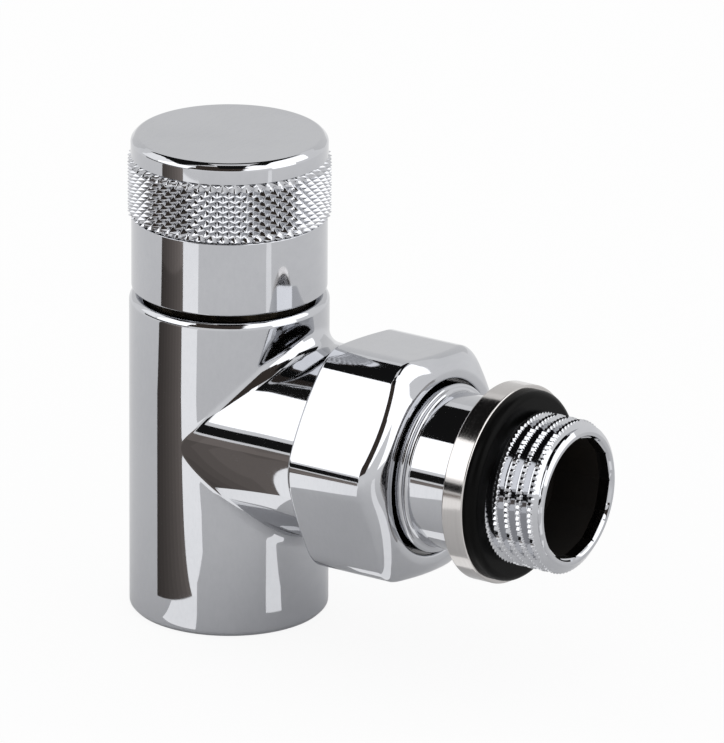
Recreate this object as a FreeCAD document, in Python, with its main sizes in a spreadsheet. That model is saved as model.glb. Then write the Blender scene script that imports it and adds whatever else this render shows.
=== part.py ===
"""Angle shut-off valve with a knurled hand knob and a union outlet.

The body stands on the XY plane with its axis on Z. The branch, the union nut and the
tailpiece point along +X. All sizes are in millimetres.
"""

import FreeCAD, Part
import math
import os
import Sketcher

SIZES = [
    # both pipe threads
    ("pipe_thread_radius", 10.4775, "major radius of the G 1/2 inlet and outlet"),
    # valve body
    ("inlet_wall", 3.1225, "wall of the body round the inlet"),
    ("body_over_branch", 5.0, "body above the branch"),
    ("body_top_bevel", 0.9, "bevel round the top of the body"),
    ("body_foot_bevel", 0.45, "bevel round the bottom of the body"),
    ("inlet_depth", 13.0, "length of the inlet thread"),
    ("inlet_chamfer", 0.5, "lead-in of the inlet"),
    ("inlet_cone_angle", 25.0, "slope of the cone that ends the inlet"),
    ("seat_rise", 4.5, "height of the seat's land above the inlet thread"),
    ("seat_height", 1.6, "height of the seat above the chamber's floor"),
    ("seat_land", 1.2, "width of the seat's land"),
    ("seat_flare", 0.8, "how much the seat widens to its foot"),
    ("branch_rise", 9.4, "axis of the branch above the seat"),
    ("branch_step", 0.3, "how much slimmer the branch is than the body"),
    ("branch_fillet", 2.2, "fillet where the branch leaves the body"),
    ("branch_collar", 6.8, "plain branch between the body and its thread"),
    ("union_thread_step", 0.08, "step from the plain branch to its thread"),
    ("union_thread_length", 8.2, "length of the branch's G 3/4 thread"),
    ("union_socket_wall", 3.22, "wall round the socket for the tailpiece's nose"),
    ("union_socket_depth", 4.6, "depth of that socket"),
    ("union_socket_step", 2.0, "step from that socket to the waterway"),
    # headwork
    ("bonnet_socket_wall", 3.6, "wall of the body round the bonnet's thread"),
    ("bonnet_shoulder", 1.0, "step from that thread to the chamber"),
    ("bonnet_thread_length", 8.6, "depth of that thread in the body"),
    ("bonnet_lift", 0.3, "gap under the bonnet's lower end"),
    ("bonnet_flange_gap", 0.55, "gap between the bonnet's flange and the knob"),
    ("bonnet_flange_thickness", 1.2, "thickness of that flange"),
    ("bonnet_hexagon_step", 0.23, "how far the spanner corners lie inside the flange"),
    ("bonnet_hexagon_length", 5.6, "length of the spanner flats"),
    ("bonnet_neck_wall", 2.94, "wall of the neck over the spanner flats"),
    ("bonnet_groove_drop", 1.8, "depth of the bonnet's seal groove below the flange"),
    ("bonnet_seal_cord", 0.58, "half thickness of the bonnet's seal"),
    ("seal_seat_gap", 0.02, "gap between each round seal and its groove"),
    ("seal_side_gap", 0.11, "gap beside each round seal in its groove"),
    ("gland_rise", 4.0, "shoulder that stops the spindle, above the body"),
    ("gland_margin", 0.4, "neck left over the upper seal when the valve is open"),
    ("spindle_thread_radius", 5.0, "lifting thread of the spindle"),
    ("stem_step", 1.0, "step from that thread to the smooth stem"),
    ("spline_step", 0.5, "step from the stem to the splined end"),
    ("spindle_tip_radius", 3.0, "tip that carries the plug"),
    ("plug_lift", 4.5, "travel of the spindle and the plug"),
    ("lift_margin", 0.3, "gap under the shoulder when the valve is open"),
    ("hub_gap", 0.6, "gap between the plug's hub and the spindle's thread"),
    ("spline_drop", 0.8, "splines below the knob's insert"),
    ("spline_grip", 5.0, "splines inside the knob's insert"),
    ("spline_depth", 0.45, "depth of each spline groove"),
    ("spline_groove_width", 1.46, "width of that groove's cutter outside the splines"),
    ("spline_count", 18, "number of splines"),
    ("stem_groove_rise", 1.35, "lower seal groove above the shoulder"),
    ("stem_groove_step", 2.1, "distance between the two seal grooves"),
    ("stem_seal_cord", 0.54, "half thickness of the stem seals"),
    ("running_gap", 0.06, "radial gap of each turning or sliding fit"),
    # plug on the spindle
    ("plug_side_gap", 0.7, "gap between the plug and the chamber"),
    ("plug_rim", 0.9, "rim of the plug round its washer"),
    ("plug_rim_lift", 1.1, "height of the plug's rim above the seat"),
    ("plug_disc", 4.5, "thickness of the plug's disc over the washer"),
    ("plug_hub_radius", 4.7, "hub round the spindle's tip"),
    ("plug_hub_length", 6.8, "length of the hub"),
    ("plug_socket_web", 0.9, "disc's top to the floor of the hub's socket"),
    ("tip_gap", 0.2, "gap under the spindle's tip"),
    ("plug_washer_thickness", 2.6, "thickness of the rubber washer"),
    ("plug_recess_gap", 0.1, "gap round the washer in its recess"),
    ("washer_overlap", 0.2, "washer's rim outside the seat's land"),
    ("clip_rise", 3.2, "wire clip above the floor of the hub's socket"),
    ("clip_wire", 0.5, "half thickness of the clip's wire"),
    ("clip_side_gap", 0.15, "gap round the clip in the tip's groove"),
    ("retainer_radius", 4.3, "plate under the washer"),
    ("retainer_thickness", 1.0, "thickness of that plate"),
    ("screw_head_radius", 3.4, "head of the plug screw"),
    ("screw_head_height", 1.9, "height of that head"),
    ("screw_shank_radius", 1.95, "shank of the plug screw"),
    ("screw_end_gap", 0.3, "end of the shank below the disc's top"),
    ("screw_socket_flats", 3.0, "hexagon socket of the plug screw"),
    ("screw_socket_depth", 1.2, "depth of that socket"),
    # knob
    ("knob_gap", 0.95, "gap between the body and the knob"),
    ("knob_skirt_step", 0.3, "how much slimmer the knob's skirt is than the body"),
    ("knob_wall", 1.55, "wall of the knob's skirt"),
    ("knob_cap_step", 0.08, "how much the rim stands proud of the skirt"),
    ("knob_top_bevel", 0.74, "bevel round the flat top"),
    ("knob_roof", 2.0, "thickness of the knob's top"),
    ("knob_rim", 2.85, "plain rim over the knurling"),
    ("knurl_height", 8.45, "height of the knurled band"),
    ("knurl_sink", 0.1, "valleys of the knurling below the skirt"),
    ("knurl_depth", 0.66, "valleys to tips of the knurling"),
    ("knurl_edge", 0.35, "bevel at each edge of the knurled band"),
    ("knurl_count", 51, "diamonds round the band"),
    ("knurl_rows", 5.5, "diamonds over the height of the band"),
    ("insert_gap", 0.4, "moulded insert above the bonnet"),
    ("insert_wall", 1.35, "wall of the insert's rim"),
    ("insert_web", 1.8, "thickness of the insert's web"),
    ("insert_web_step", 0.1, "web above the roof of the splined socket"),
    ("insert_hub_wall", 2.64, "wall of the insert's hub"),
    ("spindle_top_gap", 0.15, "gap over the spindle in the insert"),
    ("insert_rib", 1.2, "thickness of each rib"),
    ("insert_rib_rise", 2.6, "lower edge of each rib above the insert's end"),
    ("insert_rib_root", 0.34, "how far each rib runs into hub and rim"),
    ("insert_rib_count", 6, "number of ribs"),
    ("spring_ring_rise", 1.4, "spring ring above the hub's end"),
    ("spring_ring_wire", 0.45, "half thickness of the ring's wire"),
    ("spring_ring_groove", 0.55, "depth of the hub's groove"),
    # union nut
    ("nut_wall", 1.7, "wall between the nut's thread and its flats"),
    ("nut_corner_round", 2.1, "rounding of the nut's six edges"),
    ("nut_turn", 54.0, "angle of the first corner from +Y towards +Z"),
    ("nut_overhang", 0.9, "how far the nut reaches over the plain branch"),
    ("nut_back_step", 0.5, "flats to the edge of the nut's back face"),
    ("nut_back_cone", 2.1, "length of the cone at the back"),
    ("nut_front_cone", 3.3, "length of the cone at the front"),
    ("nut_cone_reach", 2.52, "how far out from the flats both cones run"),
    ("nut_entry", 0.8, "lead-in of the nut's thread"),
    ("nut_thread_gap", 0.08, "gap between the union's threads"),
    ("nut_lip", 1.2, "how far the nut's lip reaches inwards"),
    ("nut_lip_length", 2.6, "thickness of that lip"),
    ("nut_rim", 0.7, "width of the nut's front face"),
    ("nut_lip_round", 0.5, "rounding of the nut's mouth"),
    # tailpiece
    ("nose_gap", 0.1, "gap between the nose and its socket"),
    ("nose_end_gap", 0.2, "gap behind the nose"),
    ("nose_bevel", 0.4, "bevel of the nose's end"),
    ("nose_seal_cord", 0.5, "half thickness of the nose's seal"),
    ("flange_gap", 0.5, "gap between the tailpiece's flange and the nut's lip"),
    ("flange_reach", 0.5, "how far the flange stands out of the nut"),
    ("flange_web", 1.35, "flange between the branch and the snap ring"),
    ("flange_round", 0.35, "rounding of the flange's front edge"),
    ("flange_flare", 0.5, "fillet from the flange to the tail"),
    ("flange_land", 0.05, "flat between that rounding and that fillet"),
    ("snap_ring_thickness", 0.95, "thickness of the snap ring"),
    ("snap_ring_play", 0.1, "gap between the snap ring and the nut's lip"),
    ("snap_ring_grip", 0.8, "depth of the snap ring in the flange"),
    ("snap_ring_overlap", 0.7, "snap ring behind the nut's lip"),
    ("snap_ring_gap", 0.05, "gap between the snap ring and its groove"),
    ("open_ring_angle", 336.0, "angle that an open ring covers"),
    ("tail_length", 9.05, "plain tail between the flange and the collar"),
    ("collar_length", 3.25, "length of the collar"),
    ("collar_wall", 3.0725, "wall of the collar"),
    ("collar_bevel", 0.2, "bevels of the collar's edges"),
    ("collar_gap", 0.05, "gap between the collar and the thread"),
    ("outlet_length", 9.8, "collar to the end of the tailpiece"),
    ("outlet_pitch", 1.814, "pitch of the outlet thread"),
    ("outlet_thread_depth", 1.1, "depth of that thread"),
    ("outlet_root_flat", 0.22, "width of the thread's root"),
    ("outlet_thread_angle", 55.0, "flank angle of that thread"),
    ("outlet_thread_lead", 0.51, "first groove's start behind the run-out groove's end"),
    ("crest_teeth", 144, "serrations round the thread's crests"),
    ("crest_notch_depth", 0.16, "depth of each serration"),
    ("crest_notch_width", 0.22, "width of each serration"),
    ("outlet_relief_depth", 1.1775, "run-out groove under the sealing ring"),
    ("tail_end_bevel", 1.3775, "cone that ends the thread"),
    ("key_socket_rim", 0.7, "end face outside the key socket's corners"),
    ("key_socket_step", 1.4, "key socket's corners outside the waterway"),
    ("key_socket_sides", 12, "sides of the key socket"),
    ("key_socket_depth", 9.0, "depth of the key socket"),
    ("seal_length", 2.5, "thickness of the black sealing ring"),
    ("seal_step", 0.55, "how much slimmer that ring is than the collar"),
    ("seal_inner_gap", 0.1, "gap between that ring and its groove"),
    ("seal_outer_round", 1.2, "rounding of that ring's outer edge"),
    ("seal_inner_round", 0.6, "rounding of that ring's inner edge"),
    # tools
    ("cutter_run", 1.0, "how far a cutting outline runs past the blank"),
    ("cutter_rise", 0.3, "how far a thread's cutter stands outside its crests"),
]

doc = FreeCAD.newDocument("shut_off_valve")
sheet = doc.addObject("Spreadsheet::Sheet", "sizes")
places = doc.addObject("Spreadsheet::Sheet", "places")
pieces = []


class Size:
    """A number in millimetres together with the sheet expression that gives it."""

    def __init__(self, value, text):
        self.value = float(value)
        self.text = text

    def __add__(self, other):
        other = as_size(other)
        return Size(self.value + other.value, "(%s + %s)" % (self.text, other.text))

    def __sub__(self, other):
        other = as_size(other)
        return Size(self.value - other.value, "(%s - %s)" % (self.text, other.text))

    def __mul__(self, other):
        other = as_size(other)
        return Size(self.value * other.value, "(%s * %s)" % (self.text, other.text))

    def __truediv__(self, other):
        other = as_size(other)
        return Size(self.value / other.value, "(%s / %s)" % (self.text, other.text))

    def __neg__(self):
        return Size(-self.value, "(0 - %s)" % self.text)


def as_size(number):
    """Turn a plain number into a Size."""
    if isinstance(number, Size):
        return number
    return Size(number, "%.9f" % number)


class Dimensions:
    """Every dimension as an attribute that is also a cell of a sheet."""

    def __init__(self, table):
        for row, (name, value, meaning) in enumerate(table, start=1):
            sheet.set("A%d" % row, meaning)
            sheet.set("B%d" % row, repr(value))
            sheet.setAlias("B%d" % row, name)
            setattr(self, name, Size(value, "sizes.%s" % name))
        self.worked_out = 0

    def work_out(self, name, size):
        """Give a place or radius that follows from the sizes a cell of its own."""
        self.worked_out += 1
        places.set("A%d" % self.worked_out, name)
        places.set("B%d" % self.worked_out, "=" + size.text)
        places.setAlias("B%d" % self.worked_out, name)
        setattr(self, name, Size(size.value, "places.%s" % name))


d = Dimensions(SIZES)


def work_out_radii():
    """Radii of the upright parts, from the pipe thread outwards and inwards."""
    d.work_out("body_radius", d.pipe_thread_radius + d.inlet_wall)
    d.work_out("branch_radius", d.body_radius - d.branch_step)
    d.work_out("bonnet_thread_radius", d.body_radius - d.bonnet_socket_wall)
    d.work_out("bonnet_outer", d.bonnet_thread_radius - d.running_gap)
    d.work_out("chamber_radius", d.bonnet_thread_radius - d.bonnet_shoulder)
    d.work_out("plug_radius", d.chamber_radius - d.plug_side_gap)
    d.work_out("plug_washer_radius", d.plug_radius - d.plug_rim)
    d.work_out("seat_radius", d.plug_washer_radius - d.washer_overlap)
    d.work_out("seat_bore_radius", d.seat_radius - d.seat_land)
    d.work_out("knob_skirt_radius", d.body_radius - d.knob_skirt_step)
    d.work_out("knob_inner_radius", d.knob_skirt_radius - d.knob_wall)
    d.work_out("knob_cap_radius", d.knob_skirt_radius + d.knob_cap_step)
    d.work_out("knurl_root_radius", d.knob_skirt_radius - d.knurl_sink)
    d.work_out("knurl_radius", d.knurl_root_radius + d.knurl_depth)
    d.work_out("knurl_floor", (d.knob_inner_radius + d.knurl_root_radius) / 2)
    d.work_out("bonnet_flange_radius", d.knob_inner_radius - d.bonnet_flange_gap)
    d.work_out("bonnet_corner", d.bonnet_flange_radius - d.bonnet_hexagon_step)
    seal_room = d.bonnet_seal_cord * 2 + d.seal_seat_gap
    d.work_out("bonnet_groove_radius", d.bonnet_outer - seal_room)
    d.work_out("spindle_stem_radius", d.spindle_thread_radius - d.stem_step)
    seal_room = d.stem_seal_cord * 2 + d.seal_seat_gap
    d.work_out("stem_groove_radius", d.spindle_stem_radius - seal_room)
    d.work_out("gland_radius", d.spindle_stem_radius + d.running_gap)
    d.work_out("bonnet_neck_radius", d.gland_radius + d.bonnet_neck_wall)
    d.work_out("spline_radius", d.spindle_stem_radius - d.spline_step)
    d.work_out("spline_socket_radius", d.spline_radius + d.running_gap)
    d.work_out("insert_hub_radius", d.spline_socket_radius + d.insert_hub_wall)


def work_out_heights():
    """Heights of the upright parts, each from the one that it stands on."""
    d.work_out("seat_level", d.inlet_depth + d.seat_rise)
    d.work_out("chamber_floor", d.seat_level - d.seat_height)
    d.work_out("branch_height", d.seat_level + d.branch_rise)
    d.work_out("body_height", d.branch_height + d.branch_radius + d.body_over_branch)
    d.work_out("bonnet_seat", d.body_height - d.bonnet_thread_length)
    d.work_out("bonnet_groove_height", d.body_height - d.bonnet_groove_drop)
    d.work_out("plug_floor", d.seat_level + d.plug_washer_thickness)
    d.work_out("plug_disc_top", d.plug_floor + d.plug_disc)
    d.work_out("screw_top", d.plug_disc_top - d.screw_end_gap)
    d.work_out("plug_socket_floor", d.plug_disc_top + d.plug_socket_web)
    d.work_out("spindle_bottom", d.plug_socket_floor + d.tip_gap)
    d.work_out("plug_hub_top", d.plug_disc_top + d.plug_hub_length)
    d.work_out("clip_height", d.plug_socket_floor + d.clip_rise)
    d.work_out("spindle_thread_bottom", d.plug_hub_top + d.hub_gap)
    d.work_out("gland_shoulder", d.body_height + d.gland_rise)
    d.work_out("spindle_thread_top", d.gland_shoulder - d.plug_lift - d.lift_margin)
    d.work_out("stem_lower_groove", d.gland_shoulder + d.stem_groove_rise)
    d.work_out("stem_upper_groove", d.stem_lower_groove + d.stem_groove_step)
    d.work_out("stem_groove_half", d.stem_seal_cord + d.seal_side_gap)
    upper_end = d.stem_upper_groove + d.stem_groove_half
    d.work_out("bonnet_top", upper_end + d.plug_lift + d.gland_margin)
    d.work_out("insert_bottom", d.bonnet_top + d.insert_gap)
    d.work_out("spline_bottom", d.insert_bottom - d.spline_drop)
    d.work_out("spindle_top", d.insert_bottom + d.spline_grip)
    d.work_out("insert_socket_top", d.spindle_top + d.spindle_top_gap)
    d.work_out("insert_web_bottom", d.insert_socket_top + d.insert_web_step)
    d.work_out("knob_roof_bottom", d.insert_web_bottom + d.insert_web)
    d.work_out("knob_top", d.knob_roof_bottom + d.knob_roof)
    d.work_out("knob_bottom", d.body_height + d.knob_gap)
    d.work_out("knurl_top", d.knob_top - d.knob_rim)
    d.work_out("knurl_bottom", d.knurl_top - d.knurl_height)
    d.work_out("spring_ring_height", d.insert_bottom + d.spring_ring_rise)
    d.work_out("insert_rib_bottom", d.insert_bottom + d.insert_rib_rise)


def work_out_outlet():
    """Places and radii along the branch, from the body outwards."""
    d.work_out("branch_collar_end", d.body_radius + d.branch_collar)
    d.work_out("branch_end", d.branch_collar_end + d.union_thread_length)
    d.work_out("union_thread_radius", d.branch_radius - d.union_thread_step)
    d.work_out("union_socket_radius", d.union_thread_radius - d.union_socket_wall)
    d.work_out("branch_bore_radius", d.union_socket_radius - d.union_socket_step)
    d.work_out("nut_thread_radius", d.union_thread_radius + d.nut_thread_gap)
    d.work_out("nut_flats", (d.nut_thread_radius + d.nut_wall) * 2)
    d.work_out("nut_lip_radius", d.nut_thread_radius - d.nut_lip)
    d.work_out("nut_front_radius", d.nut_lip_radius + d.nut_rim)
    d.work_out("nut_back_radius", d.nut_flats / 2 - d.nut_back_step)
    d.work_out("nut_back", d.branch_collar_end - d.nut_overhang)
    d.work_out("snap_ring_start", d.branch_end + d.flange_web)
    d.work_out("snap_ring_end", d.snap_ring_start + d.snap_ring_thickness)
    d.work_out("nut_lip_start", d.snap_ring_end + d.snap_ring_play)
    d.work_out("nut_front", d.nut_lip_start + d.nut_lip_length)
    d.work_out("nose_radius", d.union_socket_radius - d.nose_gap)
    d.work_out("nose_start", d.branch_end - d.union_socket_depth + d.nose_end_gap)
    d.work_out("nose_groove_centre", (d.nose_start + d.branch_end) / 2)
    d.work_out("nose_groove_radius", d.nose_radius - d.nose_seal_cord * 2)
    d.work_out("flange_radius", d.nut_lip_radius - d.flange_gap)
    flange_step = d.flange_round + d.flange_flare + d.flange_land
    d.work_out("tail_radius", d.flange_radius - flange_step)
    d.work_out("flange_front", d.nut_front + d.flange_reach)
    d.work_out("snap_ring_inner", d.flange_radius - d.snap_ring_grip)
    d.work_out("snap_ring_outer", d.nut_lip_radius + d.snap_ring_overlap)
    d.work_out("collar_start", d.flange_front + d.tail_length)
    d.work_out("collar_end", d.collar_start + d.collar_length)
    d.work_out("collar_bore", d.pipe_thread_radius + d.collar_gap)
    d.work_out("collar_radius", d.collar_bore + d.collar_wall)
    d.work_out("relief_end", d.collar_end + d.seal_length)
    d.work_out("relief_radius", d.pipe_thread_radius - d.outlet_relief_depth)
    d.work_out("seal_outer", d.collar_radius - d.seal_step)
    d.work_out("seal_inner", d.relief_radius + d.seal_inner_gap)
    d.work_out("thread_start", d.relief_end - d.outlet_thread_lead)
    d.work_out("tail_end", d.collar_end + d.outlet_length)
    d.work_out("thread_end", d.tail_end - d.tail_end_bevel)
    d.work_out("tail_end_radius", d.pipe_thread_radius - d.tail_end_bevel)
    d.work_out("key_socket_radius", d.tail_end_radius - d.key_socket_rim)
    d.work_out("tail_bore_radius", d.key_socket_radius - d.key_socket_step)


work_out_radii()
work_out_heights()
work_out_outlet()
doc.recompute()


lying = set()


def bind(item, path, size):
    """Set a property of an object and tie it to the sheet."""
    item.setExpression(path, as_size(size).text)


def new_body(label, across=False, turn=None):
    """Start a PartDesign body. One that lies across has its axis on the branch's axis."""
    body = doc.addObject("PartDesign::Body", label)
    body.Label = label
    if across:
        lying.add(label)
        bind(body, "Placement.Base.z", d.branch_height)
    if turn is not None:
        body.Placement = FreeCAD.Placement(
            FreeCAD.Vector(), FreeCAD.Rotation(FreeCAD.Vector(1, 0, 0), turn.value)
        )
        bind(body, "Placement.Rotation.Angle", turn)
    return body


def plane_of(body, role):
    """Find one of a body's own origin planes."""
    return next(item for item in body.Origin.OriginFeatures if item.Role == role)


def new_sketch(body, role, name, offset=None):
    """Start a sketch on a body's own plane, moved along the plane's normal by offset."""
    sketch = body.newObject("Sketcher::SketchObject", name)
    sketch.AttachmentSupport = [(plane_of(body, role), "")]
    sketch.MapMode = "FlatFace"
    if offset is not None:
        bind(sketch, "AttachmentOffset.Base.z", offset)
    return sketch


def pin_coordinate(sketch, kind, axis, line, size):
    """Tie one coordinate of a line's start to the sheet, measured from the origin."""
    if abs(size.value) < 1e-9:
        sketch.addConstraint(Sketcher.Constraint("PointOnObject", line, 1, axis))
        return
    if size.value > 0:
        number = sketch.addConstraint(Sketcher.Constraint(kind, -1, 1, line, 1, size.value))
        bind(sketch, "Constraints[%d]" % number, size)
    else:
        number = sketch.addConstraint(Sketcher.Constraint(kind, line, 1, -1, 1, -size.value))
        bind(sketch, "Constraints[%d]" % number, -size)


def draw_outline(sketch, corners):
    """Draw a closed outline whose corners are (x, y) pairs of sizes."""
    corners = [(as_size(x), as_size(y)) for x, y in corners]
    points = [FreeCAD.Vector(x.value, y.value, 0) for x, y in corners]
    lines = []
    for start, end in zip(points, points[1:] + points[:1]):
        lines.append(sketch.addGeometry(Part.LineSegment(start, end), False))
    for line, following in zip(lines, lines[1:] + lines[:1]):
        sketch.addConstraint(Sketcher.Constraint("Coincident", line, 2, following, 1))
    for line, (x, y) in zip(lines, corners):
        pin_coordinate(sketch, "DistanceX", -2, line, x)
        pin_coordinate(sketch, "DistanceY", -1, line, y)


def draw_circle(sketch, radius, height=0):
    """Draw a circle whose centre is on the sketch's upright axis."""
    height = as_size(height)
    centre = FreeCAD.Vector(0, height.value, 0)
    circle = Part.Circle(centre, FreeCAD.Vector(0, 0, 1), radius.value)
    number = sketch.addGeometry(circle, False)
    sketch.addConstraint(Sketcher.Constraint("PointOnObject", number, 3, -2))
    if height.value == 0:
        sketch.addConstraint(Sketcher.Constraint("PointOnObject", number, 3, -1))
    else:
        place = sketch.addConstraint(
            Sketcher.Constraint("DistanceY", -1, 1, number, 3, height.value)
        )
        bind(sketch, "Constraints[%d]" % place, height)
    size = sketch.addConstraint(Sketcher.Constraint("Radius", number, radius.value))
    bind(sketch, "Constraints[%d]" % size, radius)


def turn_profile(body, name, corners, kind="PartDesign::Revolution", angle=None):
    """Turn an outline about the body's axis, as added or as removed material.

    Corners are (radius, height) on an upright body and (along, radius) on one that
    lies across.
    """
    sketch = new_sketch(body, "XZ_Plane", name + "_profile")
    draw_outline(sketch, corners)
    feature = body.newObject(kind, name)
    feature.Profile = sketch
    feature.ReferenceAxis = (sketch, ["H_Axis" if body.Label in lying else "V_Axis"])
    feature.Angle = 360
    if angle is not None:
        bind(feature, "Angle", angle)
    sketch.Visibility = False
    body.Tip = feature
    doc.recompute()
    return feature


def extrude(body, name, sketch, length, kind="PartDesign::Pad", reverse=False):
    """Pad or pocket a sketch by a length and check that it changed the solid."""
    before = body.Shape.Volume if not body.Shape.isNull() else 0.0
    feature = body.newObject(kind, name)
    feature.Profile = sketch
    bind(feature, "Length", length)
    feature.Reversed = reverse
    sketch.Visibility = False
    body.Tip = feature
    doc.recompute()
    if abs(body.Shape.Volume - before) < 1e-6:
        raise RuntimeError("%s changed nothing" % name)
    return feature


def repeat(body, name, feature, axis_role, count):
    """Repeat a feature round one of the body's own axes."""
    pattern = body.newObject("PartDesign::PolarPattern", name)
    pattern.Originals = [feature]
    axis = next(item for item in body.Origin.OriginFeatures if item.Role == axis_role)
    pattern.Axis = (axis, [""])
    pattern.Angle = 360
    bind(pattern, "Occurrences", count)
    body.Tip = pattern
    doc.recompute()
    return pattern


def ring_edges(shape, radius, along, across):
    """Name the circular edges with a radius at a place along the piece's axis."""
    found = []
    for number, edge in enumerate(shape.Edges, start=1):
        curve = edge.Curve
        if not isinstance(curve, Part.Circle):
            continue
        place = curve.Center.x if across else curve.Center.z
        if abs(curve.Radius - radius.value) < 1e-4 and abs(place - along.value) < 1e-4:
            found.append("Edge%d" % number)
    return found


def dress_edges(body, name, kind, edges, size):
    """Fillet or chamfer named edges of a body's last feature."""
    base = body.Tip
    if not edges:
        raise RuntimeError("%s found no edge" % name)
    feature = body.newObject(kind, name)
    feature.Base = (base, edges)
    bind(feature, "Radius" if kind.endswith("Fillet") else "Size", size)
    body.Tip = feature
    doc.recompute()
    return feature


def polygon(corner_radius, sides, turn=0.0):
    """Corners of a regular polygon about the sketch's origin."""
    corners = []
    for number in range(sides):
        angle = math.radians(turn + 360.0 * number / sides)
        x = 0.0 if abs(math.cos(angle)) < 1e-9 else math.cos(angle)
        y = 0.0 if abs(math.sin(angle)) < 1e-9 else math.sin(angle)
        corners.append((corner_radius * x, corner_radius * y))
    return corners


def hexagon(flats):
    """Corners of a hexagon given by the distance over its flats."""
    return polygon(flats / (2 * math.cos(math.pi / 6)), 6)


def seal_centre(groove_radius, cord):
    """Radius of a round seal's middle in a groove of the inner piece."""
    return groove_radius + cord + d.seal_seat_gap


def seal_ring(label, centre_radius, cord, height):
    """Round seal about the upright axis."""
    ring = doc.addObject("Part::Torus", label)
    ring.Label = label
    bind(ring, "Radius1", centre_radius)
    bind(ring, "Radius2", cord)
    bind(ring, "Placement.Base.z", height)
    pieces.append(ring)
    return ring


def turned_piece(label, corners, across=False, angle=None):
    """A piece that is one turned outline."""
    body = new_body(label, across)
    turn_profile(body, label + "_turned", corners, angle=angle)
    pieces.append(body)
    return body


def make_valve_body():
    """Body and branch in one piece, with the inlet, the seat and the chamber."""
    body = new_body("valve_body")
    turn_profile(body, "body_column", [
        (0, 0),
        (d.body_radius - d.body_foot_bevel, 0),
        (d.body_radius, d.body_foot_bevel),
        (d.body_radius, d.body_height - d.body_top_bevel),
        (d.body_radius - d.body_top_bevel, d.body_height),
        (0, d.body_height),
    ])
    branch = new_sketch(body, "YZ_Plane", "branch_section")
    draw_circle(branch, d.branch_radius, d.branch_height)
    extrude(body, "branch", branch, d.branch_collar_end)
    joint = []
    for number, edge in enumerate(body.Shape.Edges, start=1):
        box = edge.BoundBox
        inside = box.XMin > 1e-3 and box.XMax < d.body_radius.value + 1e-3
        tall = box.ZMax - box.ZMin > d.branch_radius.value * 0.5
        if inside and tall:
            joint.append("Edge%d" % number)
    dress_edges(body, "branch_root", "PartDesign::Fillet", joint, d.branch_fillet)
    thread = new_sketch(body, "YZ_Plane", "union_thread_section")
    draw_circle(thread, d.union_thread_radius, d.branch_height)
    extrude(body, "union_thread", thread, d.branch_end)
    slope = math.tan(math.radians(d.inlet_cone_angle.value))
    cone = (d.pipe_thread_radius - d.seat_bore_radius) * slope
    turn_profile(body, "waterway", [
        (0, 0),
        (d.pipe_thread_radius + d.inlet_chamfer, 0),
        (d.pipe_thread_radius, d.inlet_chamfer),
        (d.pipe_thread_radius, d.inlet_depth),
        (d.seat_bore_radius, d.inlet_depth + cone),
        (d.seat_bore_radius, d.seat_level),
        (d.seat_radius, d.seat_level),
        (d.seat_radius + d.seat_flare, d.chamber_floor),
        (d.chamber_radius, d.chamber_floor),
        (d.chamber_radius, d.bonnet_seat),
        (d.bonnet_thread_radius, d.bonnet_seat),
        (d.bonnet_thread_radius, d.body_height),
        (0, d.body_height),
    ], "PartDesign::Groove")
    bore = new_sketch(body, "YZ_Plane", "branch_bore_section")
    draw_circle(bore, d.branch_bore_radius, d.branch_height)
    extrude(body, "branch_bore", bore, d.branch_end, "PartDesign::Pocket", True)
    socket = new_sketch(body, "YZ_Plane", "union_socket_section", d.branch_end)
    draw_circle(socket, d.union_socket_radius, d.branch_height)
    extrude(body, "union_socket", socket, d.union_socket_depth, "PartDesign::Pocket")
    pieces.append(body)


def make_bonnet():
    """Screwed headwork that guides and seals the spindle."""
    body = new_body("bonnet")
    bottom = d.bonnet_seat + d.bonnet_lift
    half_groove = d.bonnet_seal_cord + d.seal_side_gap
    groove_bottom = d.bonnet_groove_height - half_groove
    groove_top = d.bonnet_groove_height + half_groove
    flange_top = d.body_height + d.bonnet_flange_thickness
    turn_profile(body, "bonnet_turned", [
        (d.spindle_thread_radius + d.running_gap, bottom),
        (d.bonnet_outer, bottom),
        (d.bonnet_outer, groove_bottom),
        (d.bonnet_groove_radius, groove_bottom),
        (d.bonnet_groove_radius, groove_top),
        (d.bonnet_outer, groove_top),
        (d.bonnet_outer, d.body_height),
        (d.bonnet_flange_radius, d.body_height),
        (d.bonnet_flange_radius, flange_top),
        (d.bonnet_neck_radius, flange_top),
        (d.bonnet_neck_radius, d.bonnet_top),
        (d.gland_radius, d.bonnet_top),
        (d.gland_radius, d.gland_shoulder),
        (d.spindle_thread_radius + d.running_gap, d.gland_shoulder),
    ])
    flats = new_sketch(body, "XY_Plane", "bonnet_hexagon_section", flange_top)
    draw_outline(flats, polygon(d.bonnet_corner, 6))
    draw_circle(flats, d.bonnet_neck_radius - d.running_gap)
    extrude(body, "bonnet_hexagon", flats, d.bonnet_hexagon_length)
    pieces.append(body)
    centre = seal_centre(d.bonnet_groove_radius, d.bonnet_seal_cord)
    seal_ring("bonnet_seal", centre, d.bonnet_seal_cord, d.bonnet_groove_height)


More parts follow.
